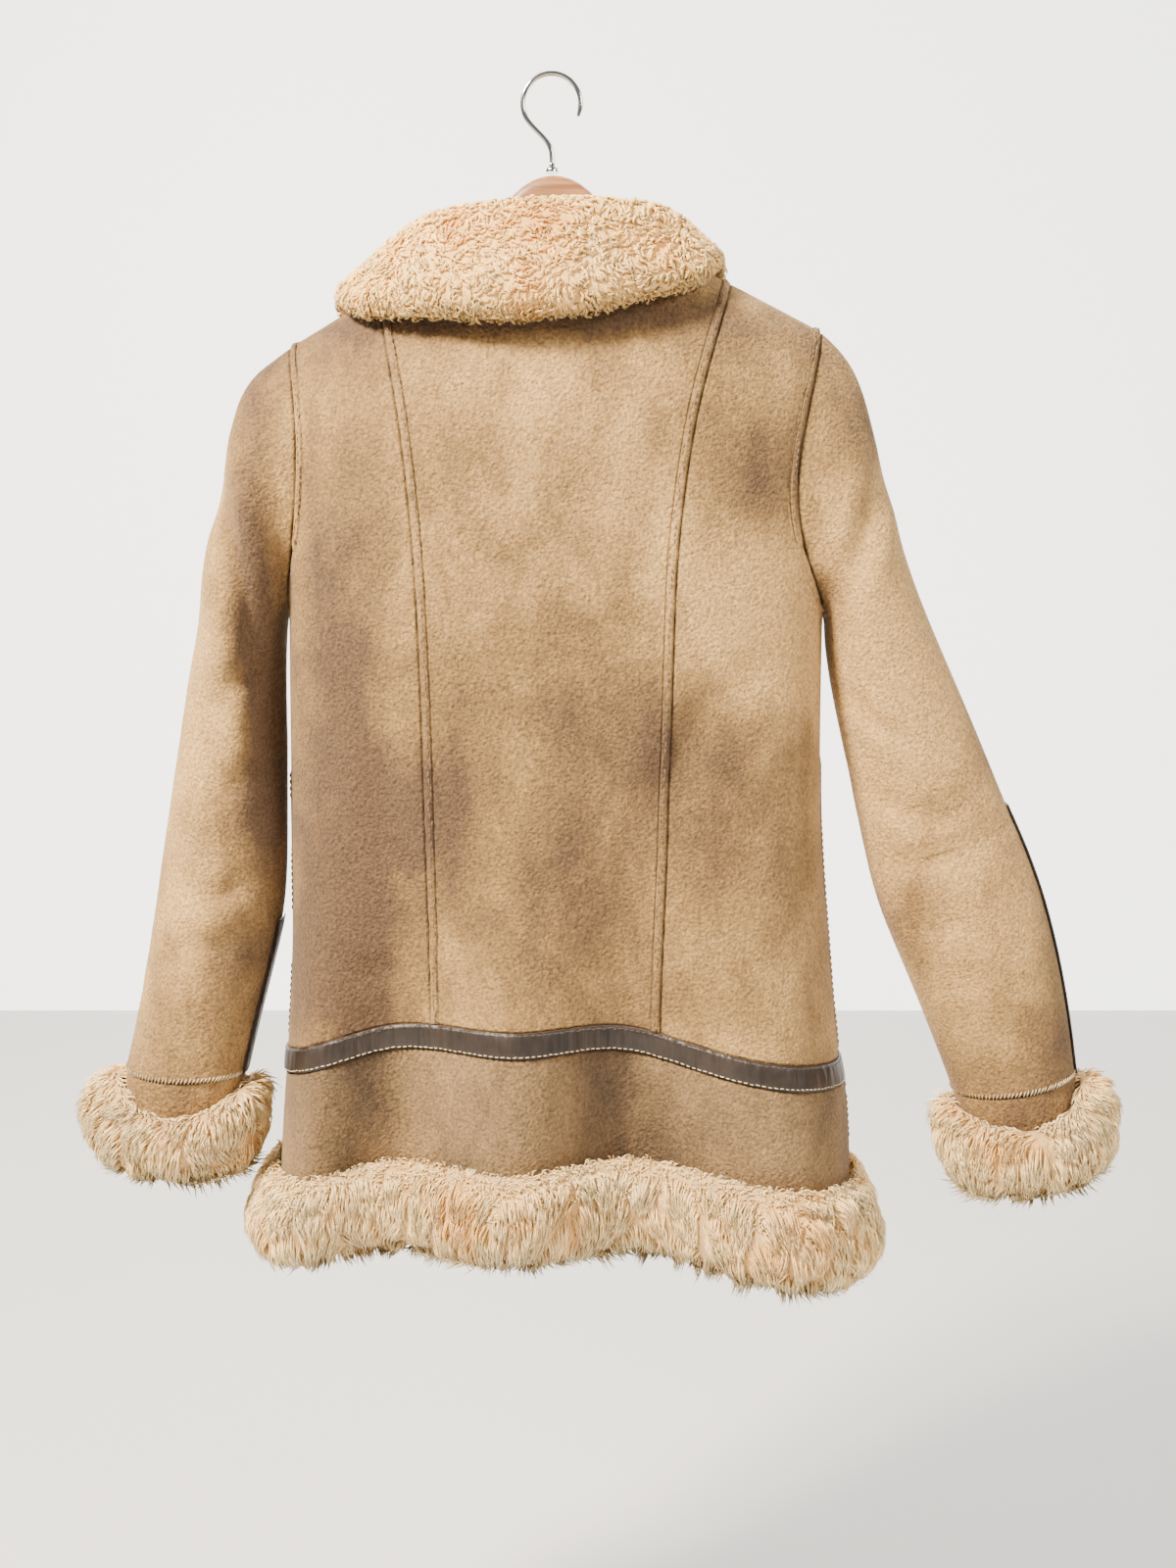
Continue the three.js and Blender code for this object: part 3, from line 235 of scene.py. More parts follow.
def copy_of_node(node, name):
    """A merged copy of a solid of the frame, with its own mesh, in quads where they fit."""
    piece = bpy.data.objects.new(name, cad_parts[node].data.copy())
    bpy.context.scene.collection.objects.link(piece)
    piece.data.materials.clear()
    select_only(piece)
    bpy.ops.object.mode_set(mode="EDIT")
    bpy.ops.mesh.select_all(action="SELECT")
    bpy.ops.mesh.customdata_custom_splitnormals_clear()
    bpy.ops.mesh.remove_doubles(threshold=0.01 * MM)
    bpy.ops.mesh.tris_convert_to_quads(face_threshold=math.radians(35), shape_threshold=math.radians(170))
    bpy.ops.object.mode_set(mode="OBJECT")
    return piece


def points_of(mesh):
    """The places of a mesh's vertices in millimetres."""
    co = np.zeros(len(mesh.vertices) * 3)
    mesh.vertices.foreach_get("co", co)
    return co.reshape(-1, 3) / MM


def move_points(mesh, places):
    mesh.vertices.foreach_set("co", (places * MM).ravel())
    mesh.update()


def mark_outer(piece, toward):
    """Gives the outer face of a shell slot 0, the inner one slot 1 and the cut edge between them slot 2."""
    mesh = piece.data
    way = Vector(toward)
    for face in mesh.polygons:
        face.material_index = 2
    for slot, facing in ((0, way), (1, -way)):
        seed = max(mesh.polygons, key=lambda face: face.normal.dot(facing) + face.center.dot(way)).index
        select_only(piece)
        bpy.ops.object.mode_set(mode="EDIT")
        bpy.ops.mesh.select_mode(type="FACE")
        bpy.ops.mesh.select_all(action="DESELECT")
        bpy.ops.object.mode_set(mode="OBJECT")
        mesh.polygons[seed].select = True
        mesh.polygons.active = seed
        bpy.ops.object.mode_set(mode="EDIT")
        bpy.ops.mesh.faces_select_linked_flat(sharpness=math.radians(48))
        bpy.ops.object.mode_set(mode="OBJECT")
        for face in mesh.polygons:
            if face.select:
                face.material_index = slot
    select_faces(piece, 0)


def select_faces(piece, slot):
    """Selects the faces of one slot alone, in face mode."""
    select_only(piece)
    bpy.ops.object.mode_set(mode="EDIT")
    bpy.ops.mesh.select_mode(type="FACE")
    bpy.ops.mesh.select_all(action="DESELECT")
    bpy.ops.object.mode_set(mode="OBJECT")
    for face in piece.data.polygons:
        face.select = face.material_index == slot


def loops_beside_border(piece, steps):
    """Adds edge loops inside the border of the outer face, at these steps in millimetres."""
    select_only(piece)
    bpy.ops.object.mode_set(mode="EDIT")
    for step in steps:
        bpy.ops.mesh.inset(thickness=step * MM, depth=0, use_even_offset=False)
    bpy.ops.object.mode_set(mode="OBJECT")


def subdivide_shell(piece, levels, sharpest=50):
    """Keeps the edges that are sharper than this many degrees and rounds all else."""
    select_only(piece)
    bpy.ops.object.mode_set(mode="EDIT")
    bpy.ops.mesh.select_all(action="DESELECT")
    bpy.ops.mesh.select_mode(type="EDGE")
    bpy.ops.mesh.edges_select_sharp(sharpness=math.radians(sharpest))
    bpy.ops.transform.edge_crease(value=1.0)
    bpy.ops.mesh.select_mode(type="VERT")
    bpy.ops.object.mode_set(mode="OBJECT")
    subdivision = piece.modifiers.new("subdivision", "SUBSURF")
    subdivision.levels = levels
    subdivision.render_levels = levels
    bpy.ops.object.modifier_apply(modifier="subdivision")
    bpy.ops.object.shade_smooth_by_angle(angle=math.radians(sharpest))


def outward_ways(mesh):
    """Which vertices are of the outer face, and for each vertex the way out of the shell.

    The inner face and the cut edge take it from the outer vertex next to them, so that both faces move alike."""
    outer = np.zeros(len(mesh.vertices), bool)
    ways = np.zeros((len(mesh.vertices), 3))
    for face in mesh.polygons:
        if face.material_index == 0:
            corners = list(face.vertices)
            outer[corners] = True
            ways[corners] += np.array(face.normal)
    ways[outer] /= np.linalg.norm(ways[outer], axis=1)[:, None]
    chosen = np.flatnonzero(outer)
    tree = KDTree(len(chosen))
    for number in chosen:
        tree.insert(mesh.vertices[number].co, number)
    tree.balance()
    for number in np.flatnonzero(~outer):
        ways[number] = ways[tree.find(mesh.vertices[number].co)[1]]
    return outer, ways


def along_path(points, path):
    """For points in a plane: the distance to a path of straight stretches, and how far along it they are."""
    path = np.array(path, float)
    steps = path[1:] - path[:-1]
    lengths = np.hypot(*steps.T)
    starts = np.concatenate([[0], np.cumsum(lengths)[:-1]])
    best = np.full(len(points), 1e9)
    share = np.zeros(len(points))
    for begin, step, length, start in zip(path[:-1], steps, lengths, starts):
        t = np.clip(((points - begin) @ step) / length ** 2, 0, 1)
        gap = np.hypot(*(points - begin - t[:, None] * step).T)
        nearer = gap < best
        best[nearer] = gap[nearer]
        share[nearer] = (start + t[nearer] * length) / lengths.sum()
    return best, share


def crease(piece, folds):
    """Presses soft troughs (depth below 0) and ridges into a shell, along paths seen from behind.

    A fold lies on the back (side 1) or the front (side -1). It is deepest in its middle and fades to its ends."""
    mesh = piece.data
    places = points_of(mesh)
    outward = outward_ways(mesh)[1]
    shift = np.zeros(len(places))
    for side, depth, width, path in folds:
        gap, share = along_path(places[:, [0, 2]], path)
        fade = np.sin(np.pi * np.clip(share, 0.02, 0.98)) ** 0.7
        facing = np.clip(side * places[:, 1] / 18.0, 0, 1)
        shape = np.exp(-(gap / width) ** 2) - 0.35 * np.exp(-((gap - 1.9 * width) / (0.9 * width)) ** 2)
        shift += depth * shape * fade * facing
    places += outward * shift[:, None]
    move_points(mesh, places)


def border_loops(mesh):
    """The closed borders of the outer face, each as a row of points in order, in millimetres."""
    count = {}
    for face in mesh.polygons:
        if face.material_index == 0:
            for key in face.edge_keys:
                count[key] = count.get(key, 0) + 1
    nexts = {}
    for (a, b), times in sorted(count.items()):
        if times == 1:
            nexts.setdefault(a, []).append(b)
            nexts.setdefault(b, []).append(a)
    places = points_of(mesh)
    loops = []
    for start in sorted(nexts):
        loop = [start]
        while nexts[loop[-1]]:
            here = loop[-1]
            back = places[here] - places[loop[-2]] if len(loop) > 1 else np.zeros(3)
            onward = max(nexts[here], key=lambda v: back @ (places[v] - places[here]))
            nexts[here].remove(onward)
            nexts[onward].remove(here)
            loop.append(onward)
        if len(loop) > 3:
            loops.append(places[loop[:-1]])
    return loops


def sides_of(piece):
    """The outer face's border cut at its four corners: left, right, top and bottom. Left is the wearer's, +X."""
    loop = max(border_loops(piece.data), key=len)
    corners = sorted(int(np.argmax(across * loop[:, 0] + up * loop[:, 2])) for across in (-1, 1) for up in (-1, 1))
    runs = []
    for a, b in zip(corners, corners[1:] + [corners[0] + len(loop)]):
        runs.append(loop[np.arange(a, b + 1) % len(loop)])
    runs.sort(key=lambda run: run[:, 0].mean())
    right, left = runs[0], runs[-1]
    middle = sorted(runs[1:-1], key=lambda run: run[:, 2].mean())
    return {"left": left, "right": right, "bottom": middle[0], "top": middle[1]}


def resample(run, pitch):
    """Points at even steps along a row, smoothed a little, and the direction of the row at each."""
    steps = np.linalg.norm(np.diff(run, axis=0), axis=1)
    walk = np.concatenate([[0], np.cumsum(steps)])
    places = np.arange(pitch / 2, walk[-1], pitch)
    even = np.column_stack([np.interp(places, walk, run[:, k]) for k in range(3)])
    for _ in range(3):
        even[1:-1] = (even[:-2] + 2 * even[1:-1] + even[2:]) / 4
    return even, np.gradient(even, axis=0) / pitch


def paint_light_and_shade(piece, patches):
    """Writes painted light (above 0) and painted shade (below 0) onto the suede, from soft oval patches seen from
    behind.

    Each patch is x, z, half width, half height in millimetres and its strength; the front is left even."""
    places = points_of(piece.data)
    nap_and_painted_light = np.zeros(len(places))
    for x, z, wide, high, strength in patches:
        nap_and_painted_light += strength * np.exp(-((places[:, 0] - x) / wide) ** 2 - ((places[:, 2] - z) / high) ** 2)
    nap_and_painted_light *= np.clip(0.5 + places[:, 1] / 30.0, 0, 1)
    piece.data.attributes.new("nap_and_painted_light", "FLOAT", "POINT").data.foreach_set("value", nap_and_painted_light.astype(np.float32))


def distance_to(places, runs):
    """The distance of each place to the nearest of these rows."""
    near = np.full(len(places), 99.0)
    for run in runs:
        for point in resample(run, 2.0)[0]:
            near = np.minimum(near, np.linalg.norm(places - point, axis=1))
    return near


def press_seams(piece, sewn, lapped):
    """Rolls the sewn borders down into their seams and raises the lap beside the stitched ones.

    The suede reads how far each vertex is from them, in millimetres."""
    mesh = piece.data
    places = points_of(mesh)
    outer, ways = outward_ways(mesh)
    seam = distance_to(places, sewn + lapped)
    lap = distance_to(places, lapped)
    height = np.interp(seam, *zip(*ROLLED_EDGE)) + np.interp(lap, *zip(*STITCHED_LAP))
    places[outer] += ways[outer] * height[outer, None]
    move_points(mesh, places)
    for name, values in (("seam_mm", seam), ("lap_mm", lap)):
        mesh.attributes.new(name, "FLOAT", "POINT").data.foreach_set("value", values.astype(np.float32))


# Heights in millimetres at distances from a sewn border: the edge itself, and the lap with its stitch groove.
ROLLED_EDGE = [(0.0, -1.3), (0.7, -0.5), (1.5, 0.0)]
STITCHED_LAP = [(0.0, 0.0), (1.5, 0.9), (3.4, 1.4), (5.4, 0.9), (6.4, -0.6), (7.4, 0.1), (9.0, 0.0)]
LOOPS_LAPPED = [0.7, 0.9, 2.0, 1.9, 1.0, 1.0, 1.6]
LOOPS_PLAIN = [0.7, 0.9]


# The panels: the body, the trim and the skirt band are cut from skins 7 mm thick with their wool inside.
# Each is a thin shell on its solid's form. Flat sizes are the cut pieces', width by length in metres.
PANELS = [
    {"node": "back_side_left", "flat": (0.115, 0.57), "area": 0.052, "sewn": ["right", "bottom"], "lapped": ["left"]},
    {"node": "back_centre", "flat": (0.25, 0.57), "area": 0.102, "sewn": ["bottom"], "lapped": ["left", "right"]},
    {"node": "back_side_right", "flat": (0.135, 0.58), "area": 0.059, "sewn": ["left", "bottom"], "lapped": ["right"]},
    {"node": "front_left", "flat": (0.26, 0.59), "area": 0.125, "sewn": ["left", "top", "bottom"], "lapped": ["right"]},
    {"node": "front_right", "flat": (0.26, 0.59), "area": 0.125, "sewn": ["right", "top", "bottom"], "lapped": ["left"]},
]
# Soft folds of the body, in millimetres: side, depth, width and path from behind as (x, z).
BODY_FOLDS = [
    (1, -4.0, 13, [(-150, -395), (-105, -430), (-70, -500)]),
    (1, 1.6, 14, [(-160, -440), (-120, -490), (-100, -560)]),
    (1, -3.6, 12, [(150, -400), (118, -450), (105, -530)]),
    (1, -3.2, 8, [(172, -590), (130, -612), (96, -604)]),
    (1, -1.4, 6, [(165, -628), (140, -622), (112, -632)]),
    (1, -1.5, 8, [(95, -575), (62, -588), (34, -582)]),
    (1, -1.6, 22, [(70, -300), (20, -330), (-40, -318)]),
    (1, 1.4, 26, [(50, -470), (-10, -500), (-50, -560)]),
    (1, -2.8, 9, [(-95, -620), (-130, -606), (-165, -618)]),
    (1, -1.8, 14, [(-40, -250), (-70, -300), (-78, -360)]),
    (-1, -2.2, 15, [(-150, -390), (-110, -440), (-85, -520)]),
    (-1, -2.0, 13, [(150, -395), (115, -450), (95, -520)]),
    (-1, 1.6, 20, [(-80, -280), (-95, -360), (-90, -450)]),
    (-1, 1.8, 18, [(85, -300), (98, -380), (95, -460)]),
    (-1, -1.5, 9, [(160, -560), (120, -585), (70, -575)]),
    (-1, -1.6, 10, [(-160, -600), (-110, -588), (-60, -603)]),
    (-1, -1.2, 7, [(-40, -470), (-70, -482), (-100, -474)]),
]
# Painted light (above 0) and painted shade (below 0) on the body's suede, as oval patches seen from behind: x, z, half
# width, half height in millimetres and strength. The wide low one under the collar is the collar's painted shadow.
PAINTED_LIGHT_PATCHES = [
    (-138, -271, 36, 38, -1.7), (-150, -375, 46, 66, 1.9), (145, -400, 36, 100, -1.1), (160, -600, 34, 85, -1.1),
    (0, -590, 40, 60, -0.25), (-40, -690, 32, 60, -0.75), (45, -215, 60, 30, 0.35), (126, -640, 14, 100, -0.8),
    (-150, -590, 40, 60, 0.1), (-120, -690, 50, 40, 0.25), (60, -700, 40, 40, 0.1), (20, -168, 112, 15, -2.6), (-20, -460, 60, 120, -0.35), (120, -560, 40, 90, -0.7),
    (-60, -330, 30, 60, 0.3), (70, -480, 40, 50, -0.25), (-90, -470, 40, 40, -0.3),
]
# The same painted light and painted shade for the sleeves, in the same columns.
SLEEVE_PAINTED_LIGHT_PATCHES = [
    (258, -400, 34, 220, 1.1), (203, -340, 15, 110, -1.5), (200, -480, 11, 90, -1.2), (-244, -390, 56, 140, 1.7),
    (-204, -245, 13, 34, -1.0), (-310, -590, 44, 90, 0.7), (-258, -570, 18, 60, -0.7), (230, -620, 14, 60, -0.8),
    (-222, -215, 16, 20, 0.5), (-262, -505, 26, 12, -0.5), (225, -600, 30, 14, -0.4), (-300, -530, 22, 14, 0.4),
]
ARMHOLE_LAP = (-318, 0)
SIDE_LAP = (-700, -470)
panels, lapped_runs = {}, {}
for row in PANELS:
    side = 1 if row["node"].startswith("back") else -1
    piece = copy_of_node(row["node"], "skin_" + row["node"])
    mark_outer(piece, (0, side, 0))
    loops_beside_border(piece, LOOPS_LAPPED)
    subdivide_shell(piece, 2 if side > 0 else 1)
    crease(piece, BODY_FOLDS)
    paint_light_and_shade(piece, PAINTED_LIGHT_PATCHES)
    piece.data.materials.append(tan_suede)
    piece.data.materials.append(lining_wool)
    piece.data.materials.append(turned_in_suede_painted_shade)
    borders = sides_of(piece)
    runs = [borders[name] for name in row["lapped"]]
    if row["node"].startswith("back_side"):
        runs = [run[(run[:, 2] > low) & (run[:, 2] < high)] for run in runs for low, high in (ARMHOLE_LAP, SIDE_LAP)]
    lapped_runs[row["node"]] = runs
    press_seams(piece, [borders[name] for name in row["sewn"] + row["lapped"]], runs)
    panels[row["node"]] = {"piece": piece, "borders": borders}
    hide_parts(row["node"])
    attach(piece, "root")

SKIRTS = [
    {"node": "skirt_back", "flat": (0.5, 0.11), "area": 0.052, "side": 1},
    {"node": "skirt_front_left", "flat": (0.29, 0.11), "area": 0.029, "side": -1},
    {"node": "skirt_front_right", "flat": (0.3, 0.11), "area": 0.03, "side": -1},
]
SKIRT_FOLDS = [
    (1, -1.6, 12, [(60, -680), (52, -705), (58, -730)]),
    (1, -1.2, 9, [(-120, -685), (-135, -705), (-160, -712)]),
    (1, 1.4, 12, [(130, -680), (120, -715), (126, -745)]),
    (-1, -1.4, 12, [(-60, -710), (-70, -740), (-64, -765)]),
    (-1, -1.4, 12, [(110, -705), (100, -730), (106, -755)]),
]
for row in SKIRTS:
    piece = copy_of_node(row["node"], "skin_" + row["node"])
    mark_outer(piece, (0, row["side"], 0))
    loops_beside_border(piece, LOOPS_LAPPED if row["side"] > 0 else LOOPS_PLAIN)
    subdivide_shell(piece, 2 if row["side"] > 0 else 1)
    crease(piece, SKIRT_FOLDS)
    paint_light_and_shade(piece, PAINTED_LIGHT_PATCHES)
    piece.data.materials.append(shaded_skirt_suede)
    piece.data.materials.append(lining_wool)
    piece.data.materials.append(turned_in_suede_painted_shade)
    borders = sides_of(piece)
    press_seams(piece, [borders["top"]], [borders["right"]] if row["side"] > 0 else [])
    panels[row["node"]] = {"piece": piece, "borders": borders}
    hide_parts(row["node"])
    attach(piece, "root")


# The trim is a strip of smooth grey-brown leather, 18 mm wide, turned in at both edges and topstitched.
# Where it is eased round the flutes it gathers into small ribs across its width.
def smooth_leather(name, base, wear_and_seam_shade):
    material, shader = new_material(name)
    place = add_node(material, "ShaderNodeTexCoord").outputs["Object"]
    seam = add_node(material, "ShaderNodeAttribute", attribute_name="seam_mm")
    wear = add_node(material, "ShaderNodeTexNoise", {"Vector": place}, Scale=60.0, Detail=5.0, Roughness=0.65)
    tone = add_node(material, "ShaderNodeValToRGB", {"Fac": wear.outputs[0]})
    tone.color_ramp.elements[0].position = 0.38
    tone.color_ramp.elements[0].color = linear(base)
    tone.color_ramp.elements[1].position = 0.72
    tone.color_ramp.elements[1].color = linear(wear_and_seam_shade)
    # Painted shade: the leather darkens towards near black within 1.4 mm of its sewn borders.
    seam_shade = add_node(material, "ShaderNodeMapRange", {"Value": seam.outputs["Fac"]})
    seam_shade.inputs["From Max"].default_value = 1.4
    seam_shade.inputs["To Min"].default_value = 0.75
    seam_shade.inputs["To Max"].default_value = 0.0
    coloured = add_node(material, "ShaderNodeMix", {"Factor": seam_shade.outputs[0], "A": tone.outputs[0]},
                        data_type="RGBA", B=linear("#241c17"))
    material.node_tree.links.new(coloured.outputs["Result"], shader.inputs["Base Color"])
    grain = add_node(material, "ShaderNodeTexVoronoi", {"Vector": place}, Scale=900.0, feature="DISTANCE_TO_EDGE")
    upright = add_node(material, "ShaderNodeMapping", {"Vector": place}, Scale=(1.0, 1.0, 0.12))
    ribs = add_node(material, "ShaderNodeTexNoise", {"Vector": upright.outputs[0]}, Scale=150.0, Detail=2.0)
    ribbed = add_node(material, "ShaderNodeBump", {"Height": ribs.outputs[0]}, Strength=0.8, Distance=0.0028)
    rough = add_node(material, "ShaderNodeBump", {"Height": grain.outputs[0], "Normal": ribbed.outputs[0]},
                     Strength=0.25, Distance=0.0004)
    material.node_tree.links.new(rough.outputs[0], shader.inputs["Normal"])
    shader.inputs["Roughness"].default_value = 0.46
    shader.inputs["Specular IOR Level"].default_value = 0.5
    return material


trim_leather = smooth_leather("smooth_grey_brown_leather", "#1f1711", "#34281f")
TRIMS = [
    {"node": "trim_back", "flat": (0.45, 0.02), "side": 1},
    {"node": "trim_front_left", "flat": (0.25, 0.02), "side": -1},
    {"node": "trim_front_right", "flat": (0.26, 0.02), "side": -1},
]
for row in TRIMS:
    piece = copy_of_node(row["node"], "strip_" + row["node"])
    mark_outer(piece, (0, row["side"], 0))
    bpy.ops.object.mode_set(mode="EDIT")
    bpy.ops.mesh.inset(thickness=1.6 * MM, depth=0.5 * MM)
    bpy.ops.mesh.inset(thickness=2.2 * MM, depth=0.5 * MM)
    bpy.ops.object.mode_set(mode="OBJECT")
    subdivide_shell(piece, 2 if row["side"] > 0 else 1)
    piece.data.materials.append(trim_leather)
    piece.data.materials.append(lining_wool)
    piece.data.materials.append(turned_in_suede_painted_shade)
    borders = sides_of(piece)
    press_seams(piece, [borders["top"], borders["bottom"]], [])
    panels[row["node"]] = {"piece": piece, "borders": borders}
    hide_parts(row["node"])
    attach(piece, "root")


# The sleeves are one skin each, seamed on the inside and set into the armholes. They keep the bend of
# the arm: folds run from the armpit and round the elbow.
SLEEVE_FOLDS_LEFT = [
    (1, -7.0, 9, [(232, -262), (222, -300), (206, -352), (198, -420), (197, -500)]),
    (1, 3.0, 10, [(246, -300), (236, -350), (222, -410), (216, -470)]),
    (1, -5.0, 8, [(204, -395), (222, -420), (240, -425)]),
    (1, -4.0, 7, [(202, -470), (226, -486), (252, -484)]),
    (1, -3.8, 7, [(206, -545), (232, -560), (262, -548)]),
    (1, 1.8, 8, [(212, -570), (240, -578), (270, -566)]),
    (1, -3.4, 7, [(222, -602), (250, -596), (282, -604)]),
    (1, -1.6, 7, [(236, -640), (262, -646), (292, -636)]),
    (-1, -6.0, 10, [(228, -262), (218, -310), (204, -370), (200, -440)]),
    (-1, -3.4, 9, [(206, -470), (230, -486), (256, -480)]),
    (-1, -2.8, 8, [(208, -535), (236, -545), (268, -536)]),
    (-1, -2.0, 8, [(224, -600), (254, -606), (284, -596)]),
]
SLEEVE_FOLDS_RIGHT = [
    (1, -5.0, 9, [(-224, -268), (-214, -310), (-200, -352)]),
    (1, -4.6, 5, [(-206, -416), (-222, -440), (-246, -452)]),
    (1, 2.2, 9, [(-218, -436), (-240, -468), (-270, -474)]),
    (1, -5.0, 5, [(-218, -486), (-240, -500), (-270, -500), (-300, -484)]),
    (1, 2.6, 8, [(-226, -512), (-252, -520), (-288, -516)]),
    (1, -4.6, 5, [(-232, -540), (-256, -538), (-292, -528), (-330, -510)]),
    (1, 2.0, 9, [(-246, -566), (-280, -556), (-318, -548)]),
    (1, -3.8, 7, [(-250, -590), (-280, -584), (-310, -586)]),
    (1, -2.2, 8, [(-270, -634), (-300, -624), (-340, -630)]),
    (1, -1.6, 7, [(-296, -672), (-320, -664), (-352, -668)]),
    (-1, -5.0, 10, [(-222, -270), (-212, -320), (-202, -370)]),
    (-1, -3.8, 9, [(-220, -478), (-250, -496), (-290, -486)]),
    (-1, -3.2, 9, [(-234, -536), (-270, -532), (-318, -512)]),
    (-1, -2.4, 8, [(-262, -600), (-300, -592), (-346, -600)]),
]
SLEEVES = [
    {"node": "sleeve_left", "out": 1, "folds": SLEEVE_FOLDS_LEFT, "flat": (0.32, 0.55), "area": 0.125},
    {"node": "sleeve_right", "out": -1, "folds": SLEEVE_FOLDS_RIGHT, "flat": (0.32, 0.58), "area": 0.13},
]
for row in SLEEVES:
    piece = copy_of_node(row["node"], "skin_" + row["node"])
    mark_outer(piece, (row["out"], 0, 0))
    loops_beside_border(piece, LOOPS_PLAIN)
    subdivide_shell(piece, 2)
    crease(piece, row["folds"])
    paint_light_and_shade(piece, SLEEVE_PAINTED_LIGHT_PATCHES)
    piece.data.materials.append(tan_suede)
    piece.data.materials.append(lining_wool)
    piece.data.materials.append(turned_in_suede_painted_shade)
    loops = sorted(border_loops(piece.data), key=lambda loop: loop[:, 2].mean())
    end, armhole = loops[0], loops[-1]
    press_seams(piece, [armhole, end], [])
    panels[row["node"]] = {"piece": piece, "end": end, "armhole": armhole}
    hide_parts(row["node"])
    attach(piece, "root")


# The cuff bands are suede, cut across the sleeve's end and turned up under the fur.
BANDS = [
    {"node": "cuff_band_left", "out": 1, "flat": (0.26, 0.05)},
    {"node": "cuff_band_right", "out": -1, "flat": (0.26, 0.05)},
]
for row in BANDS:
    piece = copy_of_node(row["node"], "skin_" + row["node"])
    mark_outer(piece, (row["out"], 0, 0))
    loops_beside_border(piece, LOOPS_PLAIN)
    subdivide_shell(piece, 2)
    piece.data.materials.append(tan_suede)
    piece.data.materials.append(lining_wool)
    piece.data.materials.append(turned_in_suede_painted_shade)
    press_seams(piece, border_loops(piece.data), [])
    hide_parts(row["node"])
    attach(piece, "root")

# A leather strip runs down each sleeve from the elbow to the cuff, over the seam there.
STRIPS = [
    {"node": "sleeve_strip_left", "out": -1, "flat": (0.02, 0.16)},
    {"node": "sleeve_strip_right", "out": -1, "flat": (0.02, 0.22)},
]
for row in STRIPS:
    piece = copy_of_node(row["node"], "strip_" + row["node"])
    mark_outer(piece, (row["out"], 0, 0))
    subdivide_shell(piece, 2)
    for _ in range(3):
        piece.data.materials.append(trim_leather)
    press_seams(piece, border_loops(piece.data), [])
    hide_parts(row["node"])
    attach(piece, "root")


# The fur is the skin's own wool, turned out. A soft body carries thousands of fine locks: combed and
# hanging on the hem and the cuffs, in short worm-like curls on the collar. It is peach at its roots.
def wool_fleece(name, tip, middle, root, warm, grey, strand_scale):
    material, shader = new_material(name)
    place = add_node(material, "ShaderNodeTexCoord").outputs["Object"]
    along = add_node(material, "ShaderNodeAttribute", attribute_name="along")
    lock = add_node(material, "ShaderNodeAttribute", attribute_name="tone")
    length = add_node(material, "ShaderNodeValToRGB", {"Fac": along.outputs["Fac"]})
    length.color_ramp.elements[0].position = 0.0
    length.color_ramp.elements[0].color = linear(root)
    length.color_ramp.elements[1].position = 0.7
    length.color_ramp.elements[1].color = linear(tip)
    length.color_ramp.elements.new(0.3).color = linear(middle)
    patches = add_node(material, "ShaderNodeTexNoise", {"Vector": place}, Scale=21.0, Detail=3.0, Roughness=0.6)
    warmth = add_node(material, "ShaderNodeMapRange", {"Value": patches.outputs[0]})
    warmth.inputs["From Min"].default_value = 0.52
    warmth.inputs["From Max"].default_value = 0.66
    warmth.inputs["To Max"].default_value = 0.6
    warmed = add_node(material, "ShaderNodeMix", {"Factor": warmth.outputs[0], "A": length.outputs[0]},
                      data_type="RGBA", B=linear(warm))
    coolness = add_node(material, "ShaderNodeMapRange", {"Value": patches.outputs[0]})
    coolness.inputs["From Min"].default_value = 0.44
    coolness.inputs["From Max"].default_value = 0.34
    coolness.inputs["To Max"].default_value = 0.5
    cooled = add_node(material, "ShaderNodeMix", {"Factor": coolness.outputs[0], "A": warmed.outputs["Result"]},
                      data_type="RGBA", B=linear(grey))
    # Each lock's tone is random, with painted shade on locks that face down and on those near the fur's lower edge.
    tone = add_node(material, "ShaderNodeMapRange", {"Value": lock.outputs["Fac"]})
    tone.inputs["To Min"].default_value = 0.56
    tone.inputs["To Max"].default_value = 1.34
    toned = add_node(material, "ShaderNodeVectorMath", {0: cooled.outputs["Result"], 1: tone.outputs[0]},
                     operation="MULTIPLY")
    stretched = add_node(material, "ShaderNodeMapping", {"Vector": place}, Scale=strand_scale)
    strands = add_node(material, "ShaderNodeTexNoise", {"Vector": stretched.outputs[0]}, Scale=1.0, Detail=3.0,
                       Roughness=0.65)
    streak = add_node(material, "ShaderNodeMapRange", {"Value": strands.outputs[0]})
    streak.inputs["From Min"].default_value = 0.35
    streak.inputs["From Max"].default_value = 0.62
    streak.inputs["To Min"].default_value = 0.82
    streak.inputs["To Max"].default_value = 1.12
    streaked = add_node(material, "ShaderNodeVectorMath", {0: toned.outputs[0], 1: streak.outputs[0]},
                        operation="MULTIPLY")
    material.node_tree.links.new(streaked.outputs[0], shader.inputs["Base Color"])
    bump = add_node(material, "ShaderNodeBump", {"Height": strands.outputs[0]}, Strength=0.8, Distance=0.0016)
    material.node_tree.links.new(bump.outputs[0], shader.inputs["Normal"])
    shader.inputs["Roughness"].default_value = 0.75
    shader.inputs["Specular IOR Level"].default_value = 0.3
    shader.inputs["Sheen Weight"].default_value = 0.12
    shader.inputs["Sheen Roughness"].default_value = 0.5
    return material


combed_wool = wool_fleece("combed_cream_wool", "#ffe5aa", "#fcd592", "#b98d58", "#eaae58", "#cbb690",
                          (760.0, 760.0, 90.0))
curled_wool = wool_fleece("curled_cream_wool", "#ffdd93", "#fbc976", "#c4914d", "#eaa244", "#e4c78e",
                          (520.0, 520.0, 520.0))


